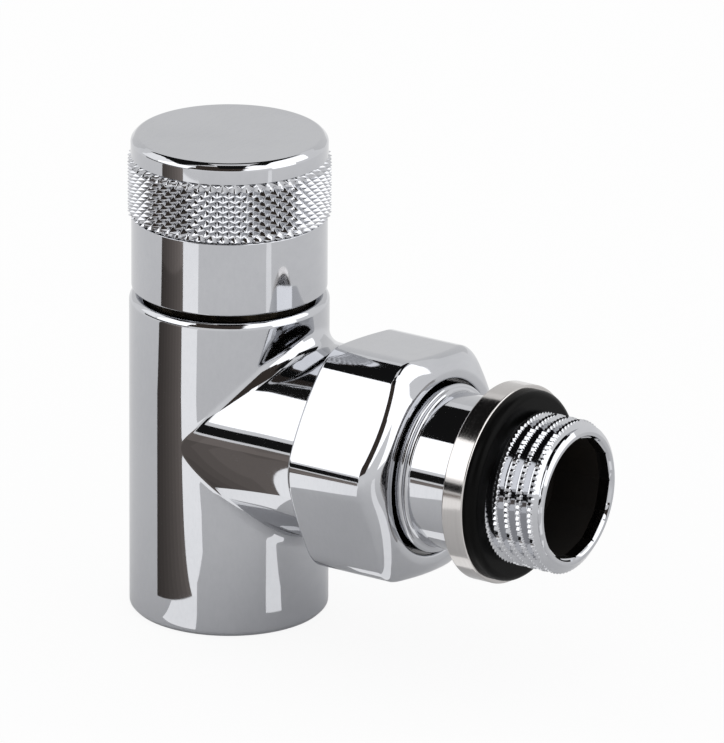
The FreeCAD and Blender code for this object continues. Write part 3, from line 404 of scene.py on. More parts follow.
class Bench:
    """A mesh in the making, in millimetres, about its own upright axis."""

    def __init__(self) -> None:
        """Start with an empty mesh."""
        self.mesh = bmesh.new()

    def outline(self, corners: Sequence[Corner], rounds: dict[int, float], closed: bool) -> None:
        """Draw an outline of corners and round some of them.

        Args:
            corners: Radius and height of each corner.
            rounds: Size of the rounding of some corners, by their number.
            closed: Whether the last corner joins the first.
        """
        verts = [self.mesh.verts.new((radius, 0.0, height)) for radius, height in corners]
        pairs = list(zip(verts, verts[1:]))
        if closed:
            pairs.append((verts[-1], verts[0]))
        for first, second in pairs:
            self.mesh.edges.new((first, second))
        for number, size in rounds.items():
            bmesh.ops.bevel(
                self.mesh, geom=[verts[number]], offset=size, offset_type="OFFSET",
                affect="VERTICES", segments=4, profile=0.5, material=-1)

    def spin(self, steps: int, lead: float = 0.0) -> None:
        """Turn everything once round the axis.

        Args:
            steps: Number of steps.
            lead: Rise over the whole turn, for a thread.
        """
        bmesh.ops.spin(
            self.mesh, geom=self.mesh.verts[:] + self.mesh.edges[:], cent=(0.0, 0.0, 0.0),
            axis=(0.0, 0.0, 1.0), dvec=(0.0, 0.0, lead / steps), angle=tau,
            space=Matrix.Identity(4), steps=steps, use_merge=lead == 0.0,
            use_normal_flip=False, use_duplicate=False)
        self.weld()

    @classmethod
    def turned(cls, corners: Sequence[Corner], rounds: dict[int, float], steps: int,
               closed: bool = True) -> "Bench":
        """Turn an outline and let its faces look outwards.

        Args:
            corners: Radius and height of each corner.
            rounds: Size of the rounding of some corners.
            steps: Number of steps.
            closed: Whether the outline is closed.

        Returns:
            A bench with the turned skin.
        """
        bench = cls()
        bench.outline(corners, rounds, closed)
        bench.spin(steps)
        bmesh.ops.recalc_face_normals(bench.mesh, faces=bench.mesh.faces[:])
        return bench

    @classmethod
    def part_of(cls, node: bpy.types.Object, wanted: Callable[[Vector], bool]) -> "Bench":
        """Take some faces of a merged copy of a CAD mesh.

        Args:
            node: The CAD node.
            wanted: Test that all corners of a face have to pass, in millimetres.

        Returns:
            A bench with the wanted faces.
        """
        bench = cls()
        bench.mesh.from_mesh(node.data)
        bmesh.ops.scale(bench.mesh, vec=(1 / MM,) * 3, verts=bench.mesh.verts[:])
        bench.weld()
        rest = [face for face in bench.mesh.faces if not all(wanted(v.co) for v in face.verts)]
        bmesh.ops.delete(bench.mesh, geom=rest, context="FACES")
        return bench

    def weld(self) -> None:
        """Merge vertices that lie on each other."""
        bmesh.ops.remove_doubles(self.mesh, verts=self.mesh.verts[:], dist=0.0005)

    def reshape(self, rule: Callable[[float, float, float], float]) -> None:
        """Give every vertex a new radius.

        Args:
            rule: Works out the radius from radius, angle and height.
        """
        for vert in self.mesh.verts:
            x, y, height = vert.co
            radius = hypot(x, y)
            if radius > 1e-6:
                factor = rule(radius, atan2(y, x), height) / radius
                vert.co = (x * factor, y * factor, height)

    def draw_in(self, height: float, radius: float | Callable[[float], float],
                new_height: float) -> None:
        """Carry the open rim at a height on to another radius and height.

        Args:
            height: Height of the rim.
            radius: New radius, or a rule that gives it for each angle.
            new_height: Height of the new rim.
        """
        rim = [edge for edge in self.mesh.edges if edge.is_boundary
               and all(abs(vert.co.z - height) < 0.001 for vert in edge.verts)]
        result = bmesh.ops.extrude_edge_only(self.mesh, edges=rim)
        for item in result["geom"]:
            if isinstance(item, bmesh.types.BMVert):
                angle = atan2(item.co.y, item.co.x)
                size = radius(angle) if callable(radius) else radius
                item.co = (size * cos(angle), size * sin(angle), new_height)

    def face_to(self, facing: Facing) -> None:
        """Turn all faces of a skin one way.

        Args:
            facing: Away from the axis or towards it.
        """
        bmesh.ops.recalc_face_normals(self.mesh, faces=self.mesh.faces[:])
        lean = 0.0
        for face in self.mesh.faces:
            middle = face.calc_center_median()
            lean += face.calc_area() * face.normal.dot(Vector((middle.x, middle.y, 0.0)))
        if lean * facing.value < 0.0:
            bmesh.ops.reverse_faces(self.mesh, faces=self.mesh.faces[:])

    def second_finish(self, where: Callable[[float, float], bool]) -> None:
        """Give the second finish, which is the painted shade of the bores, to some faces.

        Args:
            where: Test on a face's mean radius and height.
        """
        for face in self.mesh.faces:
            middle = face.calc_center_median()
            if where(hypot(middle.x, middle.y), middle.z):
                face.material_index = 1

    def lay(self) -> None:
        """Lay the axis on the branch's, with the start of each turn towards +Y."""
        matrix = Matrix(((0, 0, 1, 0), (1, 0, 0, 0), (0, 1, 0, BRANCH_HEIGHT), (0, 0, 0, 1)))
        bmesh.ops.transform(
            self.mesh, matrix=matrix, space=Matrix.Identity(4), verts=self.mesh.verts[:])

    def add(self, other: "Bench") -> None:
        """Take over another bench's mesh.

        Args:
            other: The bench, which is used up.
        """
        carrier = bpy.data.meshes.new("carrier")
        other.mesh.to_mesh(carrier)
        self.mesh.from_mesh(carrier)
        bpy.data.meshes.remove(carrier)
        other.mesh.free()

    def deliver(self, name: str, rides: str, stands_for: str, slot: str,
                materials: Sequence[Material], crease: float) -> None:
        """Make the finished piece.

        Args:
            name: Name of the piece.
            rides: Body that carries it.
            stands_for: CAD node that it replaces.
            slot: Material slot of the record; not used.
            materials: Materials in the order of the face slots.
            crease: Angle in degrees from which an edge is sharp.
        """
        bmesh.ops.scale(self.mesh, vec=(MM, MM, MM), verts=self.mesh.verts[:])
        piece = new_object(name, self.mesh, materials)
        data = piece.data
        data.polygons.foreach_set("use_smooth", [True] * len(data.polygons))
        data.set_sharp_from_angle(angle=radians(crease))
        weights = piece.modifiers.new("even_shading", "WEIGHTED_NORMAL")
        weights.keep_sharp = True
        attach(piece, rides)
        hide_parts(stands_for)
        log.info("%s: %d faces, rides %s", name, len(data.polygons), rides)


def clamp(share: float) -> float:
    """Number held between 0 and 1."""
    return min(1.0, max(0.0, share))


def soft_minimum(first: float, second: float, reach: float) -> float:
    """Smaller of two sizes, blended where they differ by less than the reach."""
    share = clamp(0.5 + 0.5 * (second - first) / reach)
    return second * (1.0 - share) + first * share - reach * share * (1.0 - share)


def divide(first: Corner, last: Corner, count: int) -> list[Corner]:
    """Corners that cut a line into equal pieces, without its end."""
    (r0, a0), (r1, a1) = first, last
    return [(r0 + (r1 - r0) * i / count, a0 + (a1 - a0) * i / count) for i in range(count)]


@dataclass(frozen=True)
class PipeThread:
    """Whitworth form of a parallel pipe thread."""

    crest: float
    root: float
    pitch: float = 1.814
    flank: float = 27.5
    root_flat: float = 0.22
    groove_at: float = 0.0
    step: float = 0.16

    def corners(self, start: float, end: float) -> list[Corner]:
        """Zigzag outline over a length, in short pieces.

        Args:
            start: Where it starts.
            end: Where it ends.

        Returns:
            Radius and place of each corner.
        """
        slope = abs(self.crest - self.root) * tan(radians(self.flank))
        half = self.root_flat / 2
        bends: list[Corner] = []
        for turn in range(int(start // self.pitch) - 2, int(end // self.pitch) + 3):
            middle = turn * self.pitch + self.groove_at % self.pitch
            bends += [(self.crest, middle - half - slope), (self.root, middle - half),
                      (self.root, middle + half), (self.crest, middle + half + slope)]
        fine: list[Corner] = []
        for first, last in zip(bends, bends[1:]):
            fine += divide(first, last, max(1, ceil((last[1] - first[1]) / self.step)))
        return [corner for corner in fine if start - self.pitch <= corner[1] <= end + self.pitch]

    def cut(self, steps: int, start: float, end: float) -> Bench:
        """Threaded skin between two places.

        Args:
            steps: Steps of one turn.
            start: Where the skin starts.
            end: Where the skin ends.

        Returns:
            The skin, open at both ends.
        """
        bench = Bench()
        bench.outline(self.corners(start - self.pitch, end), {}, False)
        bench.spin(steps, self.pitch)
        for height, above in ((start, False), (end, True)):
            bmesh.ops.bisect_plane(
                bench.mesh, geom=bench.mesh.verts[:] + bench.mesh.edges[:] + bench.mesh.faces[:],
                dist=0.0001, plane_co=(0.0, 0.0, height), plane_no=(0.0, 0.0, 1.0),
                clear_outer=above, clear_inner=not above)
        return bench


@dataclass
class ValveBody:
    """Upright body with its branch, the inlet thread and the union thread."""

    kit: Kit
    radius: float = 13.6
    height: float = 45.2
    foot_bevel: float = 0.65
    top_bevel: float = 0.6
    top_bore: float = 10.0
    top_lip: float = 0.4
    inlet: float = 10.4775
    inlet_chamfer: float = 0.5
    inlet_lip: float = 0.3
    inlet_start: float = 0.2
    inlet_end: float = 12.6
    branch_radius: float = 13.3
    branch_swell: float = 0.24
    swell_from: float = 3.0
    swell_to: float = 13.0
    branch_plain: float = 20.4
    union_start: float = 20.5
    branch_end: float = 28.6
    branch_bore: float = 10.0
    union_radius: float = 13.22
    thread_height: float = 1.162
    run_out_slope: float = 0.9
    fade_slope: float = 1.1
    end_chamfer: float = 0.7
    fillet: float = 2.2
    columns: int = 384
    branch_rows: int = 16
    fillet_rows: int = 14
    column_rows: int = 64
    skirt_low: float = 1.2
    skirt_high: float = 44.1
    plain_end: float = 20.0
    touch_rounds: int = 6

    def touch(self, angle: float) -> Triple:
        """Centre of the ball that rolls in the corner between branch and body.

        Args:
            angle: Angle round the branch, from +Y towards +Z.

        Returns:
            The centre's coordinates.
        """
        out = self.swell_from
        for _ in range(self.touch_rounds):
            reach = self.branch_size(out) + self.fillet
            side = reach * cos(angle)
            out = sqrt((self.radius + self.fillet) ** 2 - side * side)
        return out, side, BRANCH_HEIGHT + reach * sin(angle)

    def branch_size(self, out: float) -> float:
        """Radius of the branch, which swells a little towards the body."""
        share = clamp((out - self.swell_from) / (self.swell_to - self.swell_from))
        return self.branch_radius + self.branch_swell * (1.0 - share * share * (3.0 - 2.0 * share))

    def border(self, angle: float) -> Corner:
        """Where a line from the branch's foot meets the border of the unrolled body.

        Args:
            angle: Angle round the branch, from -90 to 90 degrees.

        Returns:
            Angle round the body in radians and height.
        """
        quarter = pi / 4
        if angle < -quarter:
            return pi * (angle + 2 * quarter) / quarter, self.skirt_low
        if angle > quarter:
            return pi * (2 * quarter - angle) / quarter, self.skirt_high
        share = (angle + quarter) / (2 * quarter)
        return pi, self.skirt_low + share * (self.skirt_high - self.skirt_low)

    def place(self, column: int, row: int) -> Vector:
        """Point of the skin for one vertex of the grid.

        Args:
            column: Number round the branch.
            row: Number from the branch's plain end back round the body.

        Returns:
            The point in millimetres.
        """
        angle = tau * column / self.columns - pi / 2
        mirrored = angle > pi / 2
        if mirrored:
            angle = pi - angle
        out, side, level = self.touch(angle)
        share = self.radius / (self.radius + self.fillet)
        foot = Vector((out * share, side * share, level))
        if row <= self.branch_rows:
            point = self.on_branch(
                self.plain_end + (out - self.plain_end) * row / self.branch_rows, angle)
        elif row <= self.branch_rows + self.fillet_rows:
            centre = Vector((out, side, level))
            part = (row - self.branch_rows) / self.fillet_rows
            point = centre + self.swing(self.on_branch(out, angle) - centre, foot - centre, part)
        else:
            part = (row - self.branch_rows - self.fillet_rows) / self.column_rows
            start_angle = atan2(foot.y, foot.x)
            end_angle, end_level = self.border(angle)
            turn = start_angle + (end_angle - start_angle) * part
            point = Vector((self.radius * cos(turn), self.radius * sin(turn),
                            level + (end_level - level) * part))
        if mirrored:
            point.y = -point.y
        return point

    def on_branch(self, out: float, angle: float) -> Vector:
        """Point of the branch at a distance from the body's axis and an angle round it."""
        size = self.branch_size(out)
        return Vector((out, size * cos(angle), BRANCH_HEIGHT + size * sin(angle)))

    @staticmethod
    def swing(first: Vector, second: Vector, part: float) -> Vector:
        """Vector between two of the same length, along the arc.

        Args:
            first: Where the arc starts.
            second: Where the arc ends.
            part: Share of the arc.

        Returns:
            The vector on the arc.
        """
        whole = first.angle(second)
        if whole < 1e-6:
            return first.copy()
        return (first * sin((1.0 - part) * whole) + second * sin(part * whole)) / sin(whole)

    def skin(self) -> Bench:
        """Outer skin of body and branch with the rolled fillet between them.

        Returns:
            The skin, standing.
        """
        bench = Bench()
        rows = self.branch_rows + self.fillet_rows + self.column_rows
        bmesh.ops.create_grid(bench.mesh, x_segments=self.columns, y_segments=rows, size=1.0)
        for vert in bench.mesh.verts:
            column = round((vert.co.x + 1.0) / 2.0 * self.columns)
            row = round((vert.co.y + 1.0) / 2.0 * rows)
            vert.co = self.place(column, row)
        top = Bench.turned([
            (self.radius, self.skirt_high), (self.radius, self.height - self.top_bevel),
            (self.radius - self.top_bevel, self.height), (self.top_bore, self.height),
            (self.top_bore, self.height - self.top_lip)],
            {1: 0.4, 2: 0.3}, self.columns // 4, False)
        foot = Bench.turned([
            (self.radius, self.skirt_low), (self.radius, self.foot_bevel),
            (self.radius - self.foot_bevel, 0.0), (self.inlet + self.inlet_chamfer, 0.0),
            (self.inlet, self.inlet_chamfer), (self.inlet, self.inlet_chamfer + self.inlet_lip)],
            {1: 0.22, 2: 0.2, 3: 0.1}, self.columns // 4, False)
        spigot = Bench.turned([
            (self.branch_radius, self.plain_end), (self.branch_radius, self.branch_plain),
            (self.union_radius, self.union_start)], {}, self.columns, False)
        spigot.lay()
        for part in (top, foot, spigot):
            bench.add(part)
        bench.weld()
        bmesh.ops.recalc_face_normals(bench.mesh, faces=bench.mesh.faces[:])
        return bench

    def union_thread(self) -> Bench:
        """Outside thread of the branch that the union nut screws on.

        Returns:
            The thread, laid.
        """
        thread = PipeThread(self.union_radius, self.union_radius - self.thread_height, step=0.3)
        bench = thread.cut(TURN_STEPS, self.union_start, self.branch_end)
        # The thread runs out at the plain branch and is chamfered at its end.
        bench.reshape(lambda radius, angle, along: min(
            max(radius, self.union_radius - (along - self.union_start) * self.run_out_slope),
            self.union_radius - max(0.0, along - self.branch_end + self.end_chamfer)))
        bench.draw_in(self.branch_end, self.branch_bore, self.branch_end)
        bench.face_to(Facing.OUT)
        bench.lay()
        return bench

    def inlet_thread(self) -> Bench:
        """Inside thread of the inlet.

        Returns:
            The thread, standing.
        """
        start = self.inlet_chamfer + self.inlet_start
        thread = PipeThread(self.inlet, self.inlet - self.thread_height, root_flat=0.45, step=0.3)
        bench = thread.cut(TURN_STEPS, start, self.inlet_end)
        # The thread fades out at the mouth and at its inner end.
        bench.reshape(lambda radius, angle, along: max(
            radius, self.inlet - (along - start) * self.fade_slope,
            self.inlet - (self.inlet_end - along) * self.fade_slope))
        bench.face_to(Facing.IN)
        return bench

    def waterway(self, point: Vector) -> bool:
        """Whether a point of the CAD mesh lies in the chamber, the seat or a bore."""
        from_branch = hypot(point.y, point.z - BRANCH_HEIGHT)
        return (point.x > 0.0 and from_branch < self.branch_bore + 0.05
                or hypot(point.x, point.y) < self.inlet + 0.02)

    def build(self) -> None:
        """Make the body as one piece."""
        piece = self.skin()
        piece.add(self.union_thread())
        inside = Bench.part_of(self.kit.nodes["valve_body"], self.waterway)
        # The waterway and the inlet thread get the painted shade of the bores.
        for part in (inside, self.inlet_thread()):
            part.second_finish(lambda radius, height: True)
            piece.add(part)
        piece.deliver("body_and_branch", "body", "valve_body", "chrome", self.kit.skins(), 28.0)


@dataclass
class Knob:
    """Turned shell of the hand knob with its knurled band."""

    kit: Kit
    skirt: float = 13.3
    inner: float = 11.75
    bottom: float = 46.15
    band_low: float = 56.35
    band_high: float = 64.8
    band_root: float = 13.2
    rim: float = 13.38
    top: float = 67.65
    top_bevel: float = 0.74
    roof: float = 65.65
    ridge_angle: float = 12.0
    ridge_round: float = 0.045
    knurl_depth: float = 1.5
    undercut: float = 0.6

    def shell(self) -> Bench:
        """Skirt, rim and flat top."""
        return Bench.turned([
            (self.inner, self.bottom), (self.skirt, self.bottom), (self.skirt, self.band_low),
            (self.band_root - self.undercut, self.band_low),
            (self.band_root - self.undercut, self.band_high),
            (self.rim, self.band_high),
            (self.rim, self.top - self.top_bevel),
            (self.rim - self.top_bevel, self.top),
            (0.0, self.top), (0.0, self.roof), (self.inner, self.roof)],
            {0: 0.15, 1: 0.25, 2: 0.1, 5: 0.08, 6: 0.3, 7: 0.3}, TURN_STEPS)

    def knurling(self) -> Bench:
        """Diamonds of the band, from a merged copy of the CAD mesh, with worn ridges.

        Returns:
            The band.
        """
        low, high = self.band_low - 0.01, self.band_high + 0.01
        bench = Bench.part_of(self.kit.nodes["knob_shell"], lambda point: low < point.z < high
                              and hypot(point.x, point.y) > self.band_root - 0.02)
        ridges = [edge for edge in bench.mesh.edges
                  if len(edge.link_faces) == 2 and edge.is_convex
                  and edge.calc_face_angle(0.0) > radians(self.ridge_angle)]
        bmesh.ops.bevel(
            bench.mesh, geom=ridges, offset=self.ridge_round, offset_type="OFFSET",
            affect="EDGES", segments=1, profile=0.5, material=-1, clamp_overlap=True)
        crest = max(hypot(vert.co.x, vert.co.y) for vert in bench.mesh.verts)
        bench.reshape(lambda radius, angle, height: crest - (crest - radius) * self.knurl_depth)
        return bench

    def build(self) -> None:
        """Make the shell as one piece."""
        piece = self.shell()
        # The inside of the knob gets the painted shade of the bores.
        piece.second_finish(
            lambda radius, height: radius < self.inner + 0.01 and height < self.roof + 0.01)
        piece.add(self.knurling())
        piece.deliver("knob_turned", "knob", "knob_shell", "chrome", self.kit.skins(), 20.0)


@dataclass
class UnionNut:
    """Hexagon nut with polished, rounded edges and turned cones at both ends."""

    kit: Kit
    flat: float = 15.4
    corner_round: float = 5.6
    corner_at: float = 54.0
    back: float = 19.8
    front: float = 34.5
    back_radius: float = 14.6
    front_radius: float = 13.4
    back_cone: float = 1.1
    front_cone: float = 2.5
    cone_reach: float = 18.6
    lip_radius: float = 12.1
    lip_start: float = 31.0
    bore: float = 13.3
    entry: float = 0.8
    edge_blend: float = 2.3
    step: float = 0.2
    steps: int = 360

    def hexagon(self, angle: float) -> float:
        """Radius of the rounded hexagon.

        Args:
            angle: Angle from +Y towards +Z in radians.

        Returns:
            The radius in millimetres.
        """
        sixth = pi / 3
        off = abs((angle - radians(self.corner_at) + sixth / 2) % sixth - sixth / 2)
        centre = (self.flat - self.corner_round) / cos(pi / 6)
        if off <= pi / 6 - atan2(centre / 2, self.flat):
            side = centre * sin(off)
            return centre * cos(off) + sqrt(self.corner_round ** 2 - side * side)
        return self.flat / cos(pi / 6 - off)

    def outline(self) -> list[Corner]:
        """Outline of the turned nut, finely divided along its outside.

        Returns:
            Radius and place of each corner.
        """
        bends = [(self.back_radius, self.back), (self.cone_reach, self.back + self.back_cone),
                 (self.cone_reach, self.front - self.front_cone), (self.front_radius, self.front)]
        outside: list[Corner] = []
        for first, last in zip(bends, bends[1:]):
            outside += divide(first, last, max(2, ceil(dist(first, last) / self.step)))
        return outside + [
            (self.front_radius, self.front), (self.lip_radius, self.front),
            (self.lip_radius, self.lip_start), (self.bore, self.lip_start),
            (self.bore, self.back + self.entry), (self.bore + self.entry, self.back)]

    def build(self) -> None:
        """Make the nut."""
        corners = self.outline()
        last = len(corners)
        bench = Bench.turned(corners, {0: 0.15, last - 6: 0.28, last - 5: 0.4}, self.steps)
        bench.reshape(lambda radius, angle, along: radius if radius < self.lip_radius + 0.05
                      or (radius < self.bore + 0.9 and along < self.lip_start + 0.1
                          and radius < self.back_radius - 0.2)
                      else soft_minimum(self.hexagon(angle), radius, self.edge_blend))
        # The nut's bore gets the painted shade of the bores.
        bench.second_finish(lambda radius, along: radius < self.bore + 0.6
                            and self.back + 0.1 < along < self.lip_start + 0.01)
        bench.lay()
        bench.deliver("union_nut_polished", "nut", "union_nut", "chrome", self.kit.skins(), 32.0)


@dataclass
class Tailpiece:
    """Turned tailpiece with a serrated thread and a twelve-sided key socket."""

    kit: Kit
    bore: float = 7.0
    nose_start: float = 24.2
    nose: float = 9.9
    nose_bevel: float = 0.4
    groove: Triple = (25.79, 27.01, 8.9)
    branch_end: float = 28.6
    flange: float = 11.6
    ring_groove: Triple = (29.9, 30.95, 10.75)
    flange_front: float = 35.5
    tube: float = 10.7
    collar_start: float = 43.15
    thread_radius: float = 10.4775
    collar_end: float = 46.4
    relief: float = 9.3
    relief_end: float = 48.0
    socket_floor: float = 47.2
    thread_root: float = 9.3775
    groove_phase: float = 49.49
    thread_end: float = 55.25
    end_slope: float = 1.45
    end: float = 56.2
    socket_corner: float = 8.4
    socket_sides: int = 12
    teeth: int = 84
    tooth_steps: int = 8
    notch: float = 0.24
    # Depth inside the socket that stays chrome; deeper, the wall gets the painted shade.
    bright_depth: float = 2.0
    mouth_chamfer: float = 0.3
    socket_depth: float = 0.6

    def tube_part(self) -> Bench:
        """Nose, flange and tube, up to the floor of the key socket.

        Returns:
            The turned part.
        """
        start, stop, floor = self.groove
        ring_start, ring_stop, ring_floor = self.ring_groove
        bench = Bench.turned([
            (self.bore, self.nose_start),
            (self.nose - self.nose_bevel, self.nose_start),
            (self.nose, self.nose_start + self.nose_bevel),
            (self.nose, start), (floor, start), (floor, stop), (self.nose, stop),
            (self.nose, self.branch_end), (self.flange, self.branch_end),
            (self.flange, ring_start), (ring_floor, ring_start),
            (ring_floor, ring_stop), (self.flange, ring_stop),
            (self.flange, self.flange_front), (self.tube, self.flange_front),
            (self.tube, self.collar_start), (self.thread_radius, self.collar_start),
            (self.thread_radius, self.collar_end), (self.relief, self.collar_end),
            (self.relief, self.socket_floor), (self.bore, self.socket_floor)],
            {13: 0.38, 14: 0.48}, TURN_STEPS)
        # The bore gets the painted shade of the bores.
        bench.second_finish(lambda radius, along: radius < self.relief - 0.2
                            and along > self.nose_start + 0.1)
        return bench

    def socket(self, angle: float) -> float:
        """Radius of the key socket's wall.

        Args:
            angle: Angle from +Y towards +Z in radians.

        Returns:
            The radius in millimetres.
        """
        part = tau / self.socket_sides
        off = (angle - part / 2) % part - part / 2
        flat = self.socket_corner * cos(part / 2) / cos(part / 2 - abs(off))
        return self.socket_corner - (self.socket_corner - flat) * self.socket_depth

    def threaded_part(self) -> Bench:
        """Thread with serrated crests and end cone.

        Returns:
            The thread, open at its mouth.
        """
        steps = self.teeth * self.tooth_steps
        thread = PipeThread(self.thread_radius, self.thread_root, groove_at=self.groove_phase)
        bench = thread.cut(steps, self.relief_end, self.end)

        def tooth(angle: float) -> float:
            """Share of the notch's depth at an angle."""
            column = round(angle / tau * steps) % self.tooth_steps
            return abs(2.0 * column / self.tooth_steps - 1.0)

        # The crests are notched and the end is turned down to its cone.
        bench.reshape(lambda radius, angle, along: min(
            radius, self.thread_radius - self.notch * tooth(angle),
            self.thread_radius - self.end_slope * max(0.0, along - self.thread_end)))
        bench.draw_in(self.relief_end, self.relief, self.relief_end)
        return bench

    def build(self) -> None:
        """Make the tailpiece as one piece."""
        piece = self.tube_part()
        threaded = self.threaded_part()
        bright = self.end - self.bright_depth
        lip = self.end - self.mouth_chamfer
        mouth = self.socket_corner + self.mouth_chamfer
        height = self.end
        for radius, inward in (
                (mouth, self.end), (mouth - 0.1, self.end - 0.03),
                (self.socket_corner + 0.03, lip), (self.socket, lip - 0.1),
                (self.socket, bright), (self.socket, self.socket_floor)):
            threaded.draw_in(height, radius, inward)
            height = inward
        threaded.face_to(Facing.OUT)
        # The socket wall deeper than bright_depth and the relief bore get the painted shade.
        threaded.second_finish(
            lambda radius, along: radius < self.relief - 0.2 and along < bright)
        piece.add(threaded)
        piece.lay()
        piece.deliver("tailpiece_turned", "tail", "tailpiece", "chrome", self.kit.skins(), 24.0)


@dataclass
class OutletSeal:
    """Satin collar with the black sealing ring in front of it."""

    kit: Kit
    start: float = 43.15
    middle: float = 46.4
    front: float = 48.0
    collar: float = 13.6
    collar_bore: float = 10.5275
    ring: float = 13.05
    ring_bore: float = 9.4
    outer_round: float = 0.9
    inner_round: float = 0.3

    def build(self) -> None:
        """Make both rings."""
        for name, node, finish, bore, radius, start, end, rounds in (
                ("collar_turned", "collar_ring", "satin_nickel", self.collar_bore, self.collar,
                 self.start, self.middle, {1: 0.25, 2: 0.2}),
                ("sealing_ring_moulded", "sealing_ring", "black_rubber", self.ring_bore,
                 self.ring, self.middle, self.front,
                 {2: self.outer_round, 3: self.inner_round})):
            bench = Bench.turned([
                (bore, start), (radius, start), (radius, end), (bore, end)], rounds, TURN_STEPS)
            bench.lay()
            bench.deliver(name, "tail", node, finish, (self.kit.finishes[finish],), 40.0)


@dataclass
class InnerParts:
    """Headwork, plug and union parts that keep their CAD shape."""

    kit: Kit
    bare_brass: Names = ("spindle", "plug", "washer_plate", "plug_screw")
    # The bonnet is painted nearly black as the shade in the gap under the knob.
    blackened_brass: Names = ("bonnet",)
    black_rubber: Names = (
        "bonnet_seal", "spindle_seal_lower", "spindle_seal_upper", "plug_washer", "union_seal")
    spring_steel: Names = ("plug_clip", "knob_spring_ring", "tail_snap_ring")
    insert_plastic: Names = ("knob_insert",)

    def build(self) -> None:
        """Dress each node in the finish that its group is named after."""
        for finish, material in self.kit.finishes.items():
            for name in getattr(self, finish, ()):
                for slot in self.kit.nodes[name].material_slots:
                    slot.material = material
                log.info("%s: dressed as %s", name, finish)


